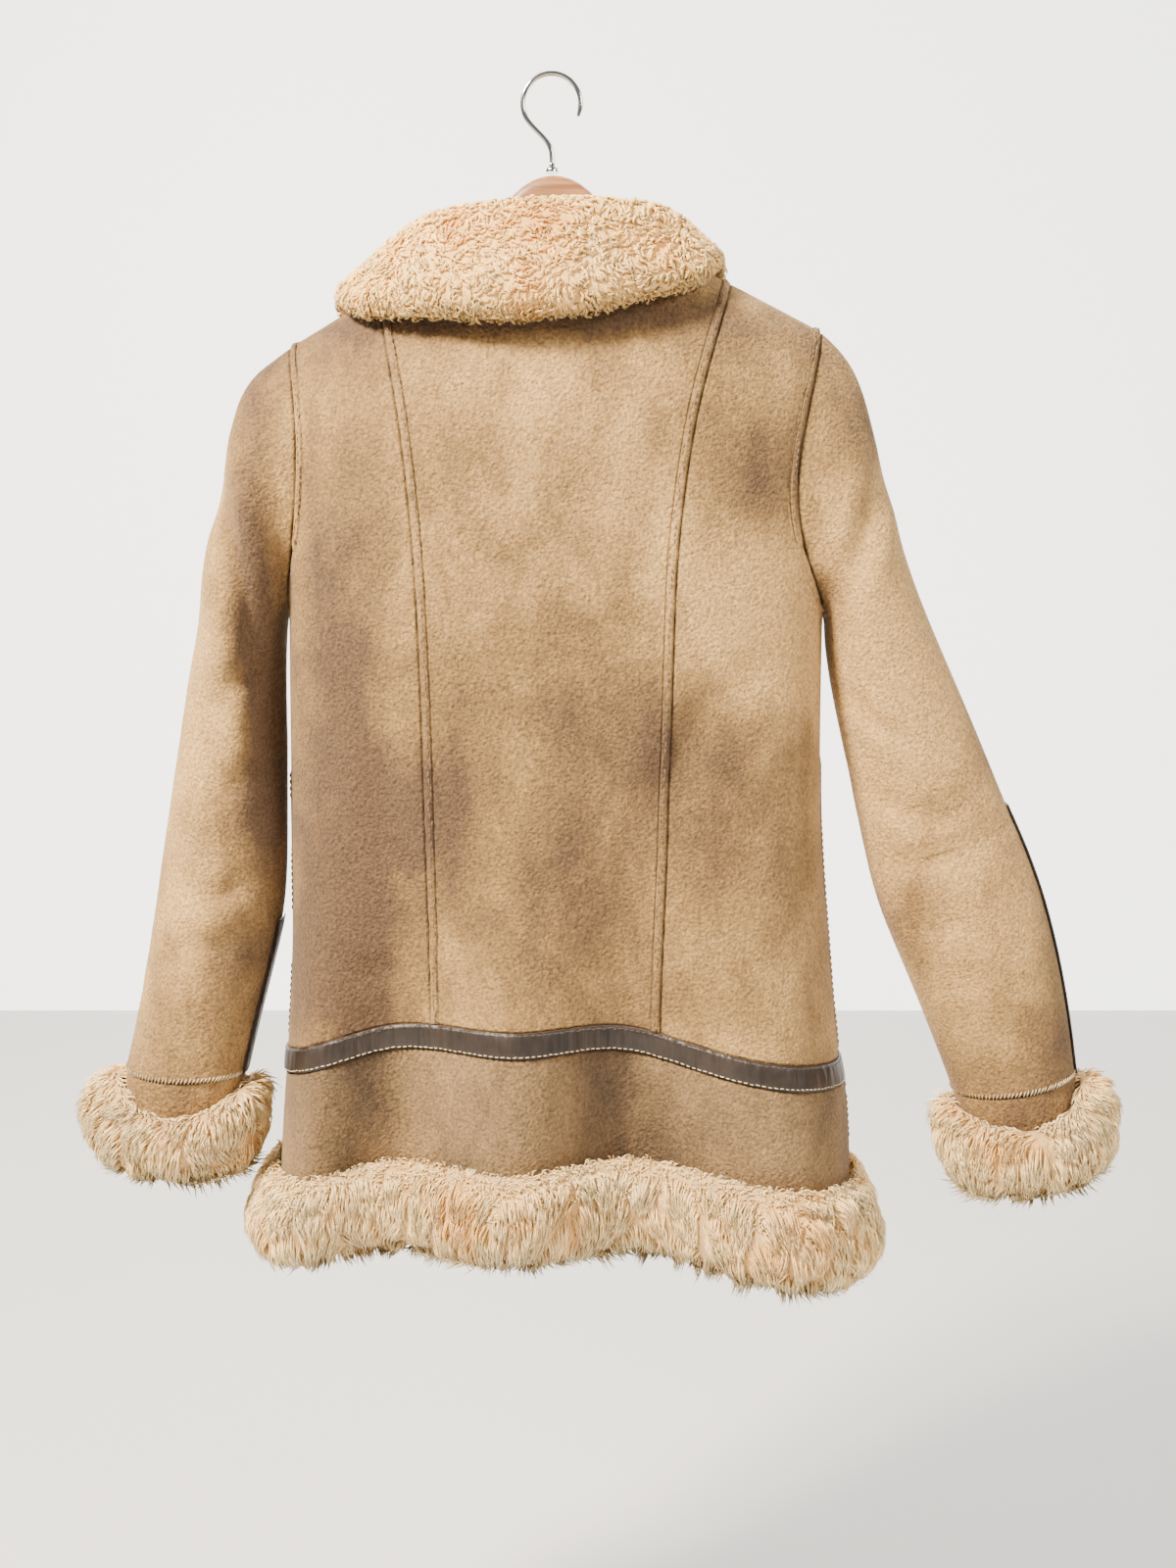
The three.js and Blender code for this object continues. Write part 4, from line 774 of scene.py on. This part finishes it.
def fleece_body(node, name, depth):
    """The soft body under the locks: the solid, rounded and drawn in a little so that the locks fill it."""
    piece = copy_of_node(node, name)
    subdivision = piece.modifiers.new("subdivision", "SUBSURF")
    subdivision.levels = 1
    subdivision.render_levels = 1
    bpy.ops.object.modifier_apply(modifier="subdivision")
    bpy.ops.object.shade_smooth()
    places = points_of(piece.data)
    normals = np.array([vertex.normal[:] for vertex in piece.data.vertices])
    move_points(piece.data, places - normals * depth)
    return piece


def scatter(piece, spacing, rng, keep):
    """Even random places on a body, about one to each square of the spacing, and the normals there."""
    mesh = piece.data
    mesh.calc_loop_triangles()
    corners = np.array([triangle.vertices[:] for triangle in mesh.loop_triangles])
    places = points_of(mesh)
    vertex_normals = np.array([vertex.normal[:] for vertex in mesh.vertices])
    a, b, c = (places[corners[:, k]] for k in range(3))
    areas = np.linalg.norm(np.cross(b - a, c - a), axis=1) / 2
    total = int(areas.sum() / spacing ** 2 * 5)
    chosen = rng.choice(len(areas), total, p=areas / areas.sum())
    u, v = rng.random(total), rng.random(total)
    over = u + v > 1
    u[over], v[over] = 1 - u[over], 1 - v[over]
    weights = np.column_stack([1 - u - v, u, v])
    roots = sum(weights[:, [k]] * places[corners[chosen, k]] for k in range(3))
    normals = sum(weights[:, [k]] * vertex_normals[corners[chosen, k]] for k in range(3))
    normals /= np.linalg.norm(normals, axis=1)[:, None]
    kept = keep(roots, normals)
    roots, normals = roots[kept], normals[kept]
    _, first = np.unique(np.floor(roots / (spacing * 1.12)).astype(int), axis=0, return_index=True)
    return roots[first], normals[first]


def clumped(roots, share, rng):
    """Groups places into tufts: the middle of each one's tuft, and the number of its tuft."""
    centres = roots[rng.choice(len(roots), max(1, int(len(roots) * share)), replace=False)]
    own = np.empty(len(roots), int)
    for start in range(0, len(roots), 2000):
        part = roots[start:start + 2000]
        own[start:start + 2000] = ((part[:, None, :] - centres[None]) ** 2).sum(2).argmin(1)
    return centres[own], own


def unit(vectors):
    return vectors / np.maximum(np.linalg.norm(vectors, axis=1), 1e-9)[:, None]


def swirl(places, size, strength):
    """A smooth turning of the wool's lie over the skin, in radians."""
    x, y, z = (places / size).T
    return strength * (np.sin(x + 1.7 * np.sin(z * 1.3 + 0.4)) + np.sin(1.9 * z - y + 2.0 * np.sin(0.7 * x)))


def above_edge(roots):
    """How far each place is above the lower edge of the fur there, in millimetres."""
    low = np.zeros(len(roots))
    for chosen in (roots[:, 1] >= 0, roots[:, 1] < 0):
        if chosen.any():
            x, z = roots[chosen, 0], roots[chosen, 2]
            middles = np.arange(x.min(), x.max() + 12, 12)
            lows = [z[abs(x - middle) <= 9].min() if (abs(x - middle) <= 9).any() else z.min() for middle in middles]
            low[chosen] = np.interp(x, middles, lows)
    return roots[:, 2] - low


def grow_locks(piece, roots, normals, comb, rng, look):
    """Joins tapered closed locks to a body. comb is the way each lies; look holds its sizes in millimetres."""
    count = len(roots)
    rings = len(look["taper"])
    tangent = unit(comb - (comb * normals).sum(1)[:, None] * normals)
    centres, own = clumped(roots, look["tufts"], rng)
    tufts = own.max() + 1
    turn = rng.normal(0, look["swing"], tufts)[own] + rng.normal(0, look["stray"], count)
    turn += swirl(roots, look["swirl_size"], look["swirl"])
    across = np.cross(normals, tangent)
    tangent = tangent * np.cos(turn)[:, None] + across * np.sin(turn)[:, None]
    across = np.cross(normals, tangent)
    length = look["length"] * rng.uniform(0.7, 1.2, count) * rng.uniform(0.8, 1.2, tufts)[own]
    width = look["width"] * rng.uniform(0.7, 1.3, count)
    lift = look["lift"] * rng.uniform(0.4, 1.15, count) * rng.uniform(0.8, 1.15, tufts)[own]
    phase = rng.uniform(0, 2 * np.pi, count) if look["loose"] else rng.uniform(0, 2 * np.pi, tufts)[own]
    lean = (centres - roots) * look["gather"]
    lean -= (lean * normals).sum(1)[:, None] * normals
    shares = np.linspace(0, 1, rings + 1)
    spine = []
    for t in shares:
        wave = look["curl"] * np.sin(phase + look["turns"] * 2 * np.pi * t) * min(1, 2 * t + 0.2)
        rise = lift * np.sin(min(1.0, t * look["crest"]) * np.pi / 2) - look["droop"] * t ** 2
        spine.append(
            roots - normals * look["sunk"] * (1 - t) ** 2 + tangent * (length * t)[:, None]
            + normals * rise[:, None] + lean * min(1, 1.4 * t) + across * wave[:, None]
        )
    spine = np.array(spine)
    flow = np.gradient(spine, axis=0)
    verts = np.zeros((count, 3 * rings + 1, 3))
    along = np.zeros((count, 3 * rings + 1))
    for k in range(rings):
        ahead = unit(flow[k])
        beside = unit(np.cross(ahead, normals))
        above = np.cross(beside, ahead)
        swell = width * look["taper"][k]
        for m in range(3):
            angle = 2 * np.pi * m / 3 + np.pi / 2
            verts[:, 3 * k + m] = (
                spine[k] + beside * (swell * np.cos(angle) / 2)[:, None]
                + above * (swell * look["flat"] * np.sin(angle) / 2)[:, None]
            )
            along[:, 3 * k + m] = shares[k]
    verts[:, -1] = spine[-1]
    along[:, -1] = 1
    faces = [(0, 1, 2)]
    for k in range(rings - 1):
        for m in range(3):
            a, b = 3 * k + m, 3 * k + (m + 1) % 3
            faces += [(a, a + 3, b + 3), (a, b + 3, b)]
    top = 3 * (rings - 1)
    faces += [(top + m, 3 * rings, top + (m + 1) % 3) for m in range(3)]
    size = 3 * rings + 1
    # Painted shade: locks rooted facing down get a lower tone, and edge_shade lowers it near the fur's lower edge.
    tone = rng.normal(0.6, 0.12, count) + rng.normal(0, 0.1, tufts)[own] + 0.8 * np.clip(normals[:, 2] + 0.1, -1, 0)
    tone = np.clip(tone - look["edge_shade"] * np.exp(-above_edge(roots) / 11.0), 0, 1)
    locks = joined_mesh("locks", verts, faces, {"along": along, "tone": np.repeat(tone[:, None], size, 1)})
    body = piece.data
    if "along" not in body.attributes:
        for name, value in (("along", look["body_along"]), ("tone", 0.4)):
            body.attributes.new(name, "FLOAT", "POINT").data.foreach_set(
                "value", np.full(len(body.vertices), value, np.float32))
    select_only(locks)
    bpy.ops.object.shade_smooth()
    piece.select_set(True)
    bpy.context.view_layer.objects.active = piece
    bpy.ops.object.join()


def joined_mesh(name, verts, faces, fields):
    """One mesh of many small bodies of the same make: verts is bodies by points by 3, in millimetres."""
    count, size, _ = verts.shape
    index = (np.array(faces)[None] + (np.arange(count) * size)[:, None, None]).reshape(-1, 3)
    mesh = bpy.data.meshes.new(name)
    mesh.vertices.add(count * size)
    mesh.vertices.foreach_set("co", (verts.reshape(-1, 3) * MM).ravel())
    mesh.loops.add(index.size)
    mesh.loops.foreach_set("vertex_index", index.ravel())
    mesh.polygons.add(len(index))
    mesh.polygons.foreach_set("loop_start", np.arange(0, index.size, 3))
    mesh.update(calc_edges=True)
    for key, values in fields.items():
        mesh.attributes.new(key, "FLOAT", "POINT").data.foreach_set("value", values.ravel().astype(np.float32))
    joined = bpy.data.objects.new(name, mesh)
    bpy.context.scene.collection.objects.link(joined)
    return joined


# The hem fur: a roll of long wool combed down from the skirt's edge, in tufts that part over the flutes,
# with shorter curled wool along its top where the comb didn't reach.
HEM_COMBED = {
    "taper": [1.0, 0.85], "length": 16, "width": 1.5, "flat": 0.7, "lift": 3.6, "crest": 1.6,
    "droop": 2.6, "sunk": 1.0, "tufts": 0.02, "swing": 0.2, "stray": 0.08, "gather": 0.42, "curl": 0.4,
    "turns": 0.8, "loose": False, "swirl": 0.16, "swirl_size": 38, "body_along": 0.12, "edge_shade": 0.3,
}
HEM_CURLED = {
    "taper": [1.0, 0.8], "length": 5.5, "width": 1.6, "flat": 0.8, "lift": 2.6, "crest": 1.8,
    "droop": 0.6, "sunk": 1.0, "tufts": 0.1, "swing": 0.9, "stray": 0.5, "gather": 0.3, "curl": 1.3,
    "turns": 1.0, "loose": True, "swirl": 0.5, "swirl_size": 22, "body_along": 0.12, "edge_shade": 0.0,
}
HEMS = [
    {"node": "hem_fur_back", "name": "fleece_hem_back", "seed": 11, "spacing": 2.2, "side": 1},
    {"node": "hem_fur_front_left", "name": "fleece_hem_front_left", "seed": 12, "spacing": 2.6, "side": -1},
    {"node": "hem_fur_front_right", "name": "fleece_hem_front_right", "seed": 13, "spacing": 2.6, "side": -1},
]
for row in HEMS:
    piece = fleece_body(row["node"], row["name"], 3.2)
    rng = np.random.default_rng(row["seed"])
    outward = row["side"]
    roots, normals = scatter(piece, row["spacing"], rng, lambda p, n: n[:, 1] * outward + abs(n[:, 0]) - n[:, 2] > -0.4)
    curls, curl_normals = scatter(piece, row["spacing"], rng, lambda p, n: n[:, 2] + 0.3 * n[:, 1] * outward > 0.5)
    kept = normals[:, 2] < 0.75
    comb = np.tile([0.0, 0.0, -1.0], (len(roots), 1))
    grow_locks(piece, roots[kept], normals[kept], comb[kept], rng, HEM_COMBED)
    comb = np.tile([0.0, 0.6 * outward, -0.4], (len(curls), 1))
    grow_locks(piece, curls, curl_normals, comb, rng, HEM_CURLED)
    piece.data.materials.append(combed_wool)
    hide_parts(row["node"])
    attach(piece, "root")

# The cuff furs: the same wool round each wrist, spread outwards by the turned-up edge.
CUFF_COMBED = dict(HEM_COMBED, length=15, swing=0.2, stray=0.14, swirl=0.3, swirl_size=24)
CUFFS = [
    {"node": "cuff_fur_left", "name": "fleece_cuff_left", "seed": 21, "spacing": 2.05},
    {"node": "cuff_fur_right", "name": "fleece_cuff_right", "seed": 22, "spacing": 2.05},
]
for row in CUFFS:
    piece = fleece_body(row["node"], row["name"], 3.2)
    low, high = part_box(row["node"])
    middle = (np.array(low) + np.array(high)) / 2 / MM
    rng = np.random.default_rng(row["seed"])
    roots, normals = scatter(piece, row["spacing"], rng, lambda p, n: (n * unit(p - middle)).sum(1) > -0.1)
    comb = np.tile([0.0, 0.0, -1.0], (len(roots), 1)) + 0.35 * unit(roots - middle) * [1, 1, 0]
    grow_locks(piece, roots, normals, comb, rng, CUFF_COMBED)
    piece.data.materials.append(combed_wool)
    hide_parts(row["node"])
    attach(piece, "root")

# The collar is one turned-down skin whose wool is left in its tight natural curl.
COLLAR_CURLED = {
    "taper": [0.9, 1.0, 0.85], "length": 7.0, "width": 2.3, "flat": 0.8, "lift": 2.2, "crest": 2.4,
    "droop": 1.4, "sunk": 0.3, "tufts": 0.25, "swing": 0.35, "stray": 0.25, "gather": 0.2, "curl": 1.5,
    "turns": 1.0, "loose": False, "swirl": 0.9, "swirl_size": 24, "body_along": 0.3, "edge_shade": 0.75,
}
piece = fleece_body("collar_fur", "fleece_collar", 1.3)
rng = np.random.default_rng(31)
roots, normals = scatter(piece, 3.05, rng, lambda p, n: n[:, 2] > -0.8)
comb = np.tile([0.0, 0.0, -1.0], (len(roots), 1))
grow_locks(piece, roots, normals, comb, rng, COLLAR_CURLED)
piece.data.materials.append(curled_wool)
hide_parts("collar_fur")
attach(piece, "root")


# The seam allowances: both skins are turned in at each seam and fill it from behind with a ridge coloured dark brown as
# painted shade.
def outer_tree(piece):
    """The outer face of a shell, for the nearest place on it and the normal there."""
    mesh = piece.data
    faces = [face.vertices[:] for face in mesh.polygons if face.material_index == 0]
    return BVHTree.FromPolygons([vertex.co for vertex in mesh.vertices], faces)


def inside_border(tree, place, way, inside):
    """The place on the outer face this far inside its border, and the normal there."""
    normal = np.array(tree.find_nearest(Vector(place * MM))[1])
    inward = np.cross(normal, way)
    inward *= inside / np.linalg.norm(inward)
    tries = []
    for target in (place + inward, place - inward):
        spot, facing = tree.find_nearest(Vector(target * MM))[:2]
        tries.append((np.linalg.norm(np.array(spot) / MM - target), np.array(spot) / MM, np.array(facing)))
    return min(tries, key=lambda guess: guess[0])[1:]


def seam_core(name, runs, depth, radius):
    """A closed round cord along each run, this deep under the borders."""
    verts, faces = [], []
    for piece, run in runs:
        places, ahead = resample(run, 6.0)
        start = len(verts)
        tree = outer_tree(piece)
        for place, way in zip(places, ahead):
            normal = inside_border(tree, place, way, 4.0)[1]
            side = np.cross(normal, way)
            side /= np.linalg.norm(side)
            normal = np.cross(way, side) / np.linalg.norm(way)
            for m in range(5):
                angle = 2 * np.pi * m / 5
                verts.append(place - normal * depth + (side * np.cos(angle) + normal * np.sin(angle)) * radius)
        for k in range(len(places) - 1):
            for m in range(5):
                a, b = start + 5 * k + m, start + 5 * k + (m + 1) % 5
                faces += [(a, b, b + 5), (a, b + 5, a + 5)]
        last = start + 5 * (len(places) - 1)
        faces += [(start, start + 3, start + 2), (start, start + 4, start + 3), (start, start + 2, start + 1)]
        faces += [(last, last + 2, last + 3), (last, last + 3, last + 4), (last, last + 1, last + 2)]
    core = joined_mesh(name, np.array(verts)[None], faces, {})
    select_only(core)
    bpy.ops.object.shade_smooth()
    core.data.materials.append(turned_in_suede_painted_shade)
    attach(core, "root")


sides = [("back_centre", "left"), ("back_centre", "right"), ("back_side_left", "left"), ("back_side_right", "right")]
sides += [("skirt_back", "left"), ("skirt_back", "right")]
sides += [(node, name) for node in ("trim_back", "trim_front_left", "trim_front_right") for name in ("top", "bottom")]
seam_core("seam_allowances", [(panels[node]["piece"], panels[node]["borders"][name]) for node, name in sides], 3.1, 1.15)


# The stitches: waxed thread sewn through both skins, about five millimetres to a stitch. Each thread
# dips at both ends into its needle hole, where it is coloured darker as painted shade.
def sewing_thread(name, colour, hole):
    material, shader = new_material(name)
    along = add_node(material, "ShaderNodeAttribute", attribute_name="along")
    # Painted shade: each stitch darkens to the hole colour at its ends.
    ramp = add_node(material, "ShaderNodeValToRGB", {"Fac": along.outputs["Fac"]})
    ramp.color_ramp.elements[0].position = 0.0
    ramp.color_ramp.elements[0].color = linear(hole)
    ramp.color_ramp.elements[1].position = 0.6
    ramp.color_ramp.elements[1].color = linear(colour)
    material.node_tree.links.new(ramp.outputs[0], shader.inputs["Base Color"])
    shader.inputs["Roughness"].default_value = 0.6
    shader.inputs["Sheen Weight"].default_value = 0.15
    return material


tan_thread = sewing_thread("tan_waxed_thread", "#735a3e", "#2c2018")
dark_thread = sewing_thread("dark_brown_thread", "#3b3029", "#15100c")
cream_thread = sewing_thread("cream_cotton_thread", "#dccaa6", "#6a563e")
STITCH_FACES = []
for k in range(4):
    for m in range(3):
        a, b = 3 * k + m, 3 * k + (m + 1) % 3
        STITCH_FACES += [(a, b, b + 3), (a, b + 3, a + 3)]
STITCH_FACES += [(0, 2, 1), (12, 13, 14)]


def stitch_row(piece, run, inside, rng, look):
    """Stitches along a border of a shell, this far inside it, as places by points by 3."""
    places, ahead = resample(run, look["pitch"])
    tree = outer_tree(piece)
    bodies = []
    for place, way in zip(places, ahead):
        spot, normal = inside_border(tree, place, way, inside)
        way = way - (way @ normal) * normal
        way /= np.linalg.norm(way)
        slant = look["slant"] + rng.normal(0, 0.07)
        side = np.cross(normal, way)
        way, side = way * np.cos(slant) + side * np.sin(slant), side * np.cos(slant) - way * np.sin(slant)
        half = look["length"] / 2 * rng.uniform(0.88, 1.1)
        spot = spot + side * rng.normal(0, 0.12)
        body = []
        for share, rise, thick in ((-1, -0.35, 0.8), (-0.8, 0.05, 1.0), (0, 0.3, 1.0), (0.8, 0.05, 1.0), (1, -0.35, 0.8)):
            for m in range(3):
                angle = 2 * np.pi * m / 3 + np.pi / 2
                body.append(
                    spot + way * half * share + normal * rise
                    + side * np.cos(angle) * look["thick"] / 2 * thick
                    + normal * np.sin(angle) * look["thick"] / 2 * thick
                )
        bodies.append(body)
    return bodies


def sew(name, bodies, material):
    """Makes one mesh of all stitches of one thread."""
    verts = np.array(bodies)
    along = np.tile(np.repeat([0.0, 0.7, 1.0, 0.7, 0.0], 3), (len(verts), 1))
    thread = joined_mesh(name, verts, STITCH_FACES, {"along": along})
    select_only(thread)
    bpy.ops.object.shade_smooth()
    thread.data.materials.append(material)
    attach(thread, "root")
    return thread


LAP_STITCH = {"pitch": 4.8, "length": 3.4, "thick": 0.95, "slant": 0.0}
TRIM_STITCH = {"pitch": 4.2, "length": 3.0, "thick": 0.8, "slant": 0.0}
rng = np.random.default_rng(41)
rows = []
for row in PANELS:
    for run in lapped_runs[row["node"]]:
        rows += stitch_row(panels[row["node"]]["piece"], run, 6.4, rng, LAP_STITCH)
panel = panels["skirt_back"]
rows += stitch_row(panel["piece"], panel["borders"]["right"], 6.4, rng, LAP_STITCH)
sew("thread_laps", rows, tan_thread)
upper, lower = [], []
for row in TRIMS:
    panel = panels[row["node"]]
    upper += stitch_row(panel["piece"], panel["borders"]["top"], 2.2, rng, TRIM_STITCH)
    lower += stitch_row(panel["piece"], panel["borders"]["bottom"], 2.2, rng, TRIM_STITCH)
sew("thread_trim_upper", upper, dark_thread)
sew("thread_trim_lower", lower, cream_thread)
CUFF_STITCH = {"pitch": 2.7, "length": 5.6, "thick": 0.85, "slant": 1.15}
rows = []
for name in ("sleeve_left", "sleeve_right"):
    panel = panels[name]
    rows += stitch_row(panel["piece"], panel["end"], 1.2, rng, CUFF_STITCH)
sew("thread_cuffs", rows, cream_thread)


# Four plain buttons close the front: turned dark brown, dished, with four holes and a crossed thread.
def glossy(name, colour, roughness):
    material, shader = new_material(name)
    shader.inputs["Base Color"].default_value = linear(colour)
    shader.inputs["Roughness"].default_value = roughness
    shader.inputs["Coat Weight"].default_value = 0.2
    return material


button_brown = glossy("turned_dark_brown_resin", "#3a281c", 0.35)
dark_thread_knot = glossy("dark_brown_sewing_thread", "#241a13", 0.8)
bpy.ops.object.select_all(action="DESELECT")
bpy.ops.mesh.primitive_cylinder_add(vertices=40, radius=1.0, depth=2.0, rotation=(math.pi / 2, 0, 0))
model = bpy.context.active_object
bpy.ops.object.transform_apply(rotation=True)
bpy.ops.object.mode_set(mode="EDIT")
bpy.ops.mesh.select_mode(type="FACE")
bpy.ops.mesh.select_all(action="DESELECT")
bpy.ops.object.mode_set(mode="OBJECT")
for face in model.data.polygons:
    face.select = face.normal.y < -0.9
bpy.ops.object.mode_set(mode="EDIT")
bpy.ops.mesh.inset(thickness=0.1, depth=0.0)
bpy.ops.mesh.inset(thickness=0.08, depth=0.08)
bpy.ops.mesh.inset(thickness=0.12, depth=-0.42)
bpy.ops.mesh.inset(thickness=0.12, depth=-0.1)
bpy.ops.object.mode_set(mode="OBJECT")
model.data.materials.append(button_brown)
model.data.materials.append(dark_thread_knot)
for across, up, turn in ((-0.17, -0.17, 0.0), (0.17, -0.17, 0.0), (-0.17, 0.17, 0.0), (0.17, 0.17, 0.0)):
    bpy.ops.object.select_all(action="DESELECT")
    bpy.ops.mesh.primitive_cylinder_add(
        vertices=10, radius=0.075, depth=0.1, location=(across, -0.6, up), rotation=(math.pi / 2, 0, 0))
    hole = bpy.context.active_object
    bpy.ops.object.transform_apply(location=True, rotation=True)
    hole.data.materials.append(button_brown)
    hole.data.materials.append(dark_thread_knot)
    for face in hole.data.polygons:
        face.material_index = 1
    model.select_set(True)
    bpy.context.view_layer.objects.active = model
    bpy.ops.object.join()
for turn in (math.pi / 4, -math.pi / 4):
    bpy.ops.object.select_all(action="DESELECT")
    bpy.ops.mesh.primitive_cylinder_add(
        vertices=8, radius=0.055, depth=0.5, location=(0, -0.66, 0), rotation=(0, turn, 0))
    thread = bpy.context.active_object
    bpy.ops.object.transform_apply(location=True, rotation=True)
    thread.data.materials.append(button_brown)
    thread.data.materials.append(dark_thread_knot)
    for face in thread.data.polygons:
        face.material_index = 1
    model.select_set(True)
    bpy.context.view_layer.objects.active = model
    bpy.ops.object.join()
select_only(model)
bpy.ops.object.shade_smooth_by_angle(angle=math.radians(40))
for k in range(1, 5):
    low, high = (np.array(corner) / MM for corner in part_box("button_%d" % k))
    middle, half = (low + high) / 2, (high - low) / 2
    piece = bpy.data.objects.new("turned_button_%d" % k, model.data.copy())
    bpy.context.scene.collection.objects.link(piece)
    places = points_of(piece.data) * MM
    move_points(piece.data, places * half * [1, 1, 1] + middle)
    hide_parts("button_%d" % k)
    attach(piece, "root")
bpy.data.objects.remove(model)


# The hanger: beech, turned and lacquered, with a plated wire hook screwed into its crest.
def lacquered_wood(name, light, dark):
    material, shader = new_material(name)
    place = add_node(material, "ShaderNodeTexCoord").outputs["Object"]
    lengthwise = add_node(material, "ShaderNodeMapping", {"Vector": place}, Scale=(0.06, 1.0, 1.0))
    grain = add_node(material, "ShaderNodeTexNoise", {"Vector": lengthwise.outputs[0]}, Scale=260.0, Detail=4.0)
    tone = add_node(material, "ShaderNodeValToRGB", {"Fac": grain.outputs[0]})
    tone.color_ramp.elements[0].position = 0.35
    tone.color_ramp.elements[0].color = linear(dark)
    tone.color_ramp.elements[1].position = 0.65
    tone.color_ramp.elements[1].color = linear(light)
    material.node_tree.links.new(tone.outputs[0], shader.inputs["Base Color"])
    shader.inputs["Roughness"].default_value = 0.4
    shader.inputs["Coat Weight"].default_value = 0.4
    return material


beech = lacquered_wood("lacquered_brown_beech", "#a97a50", "#7d5232")
piece = copy_of_node("hanger_wood", "turned_hanger")
subdivide_shell(piece, 1)
piece.data.materials.append(beech)
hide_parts("hanger_wood")
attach(piece, "root")
plated = glossy("nickel_plated_wire", "#c9c7c2", 0.16)
plated.node_tree.nodes["Principled BSDF"].inputs["Metallic"].default_value = 1.0
piece = copy_of_node("hanger_hook", "wire_hook")
subdivide_shell(piece, 2, 75)
piece.data.materials.append(plated)
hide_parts("hanger_hook")
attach(piece, "root")
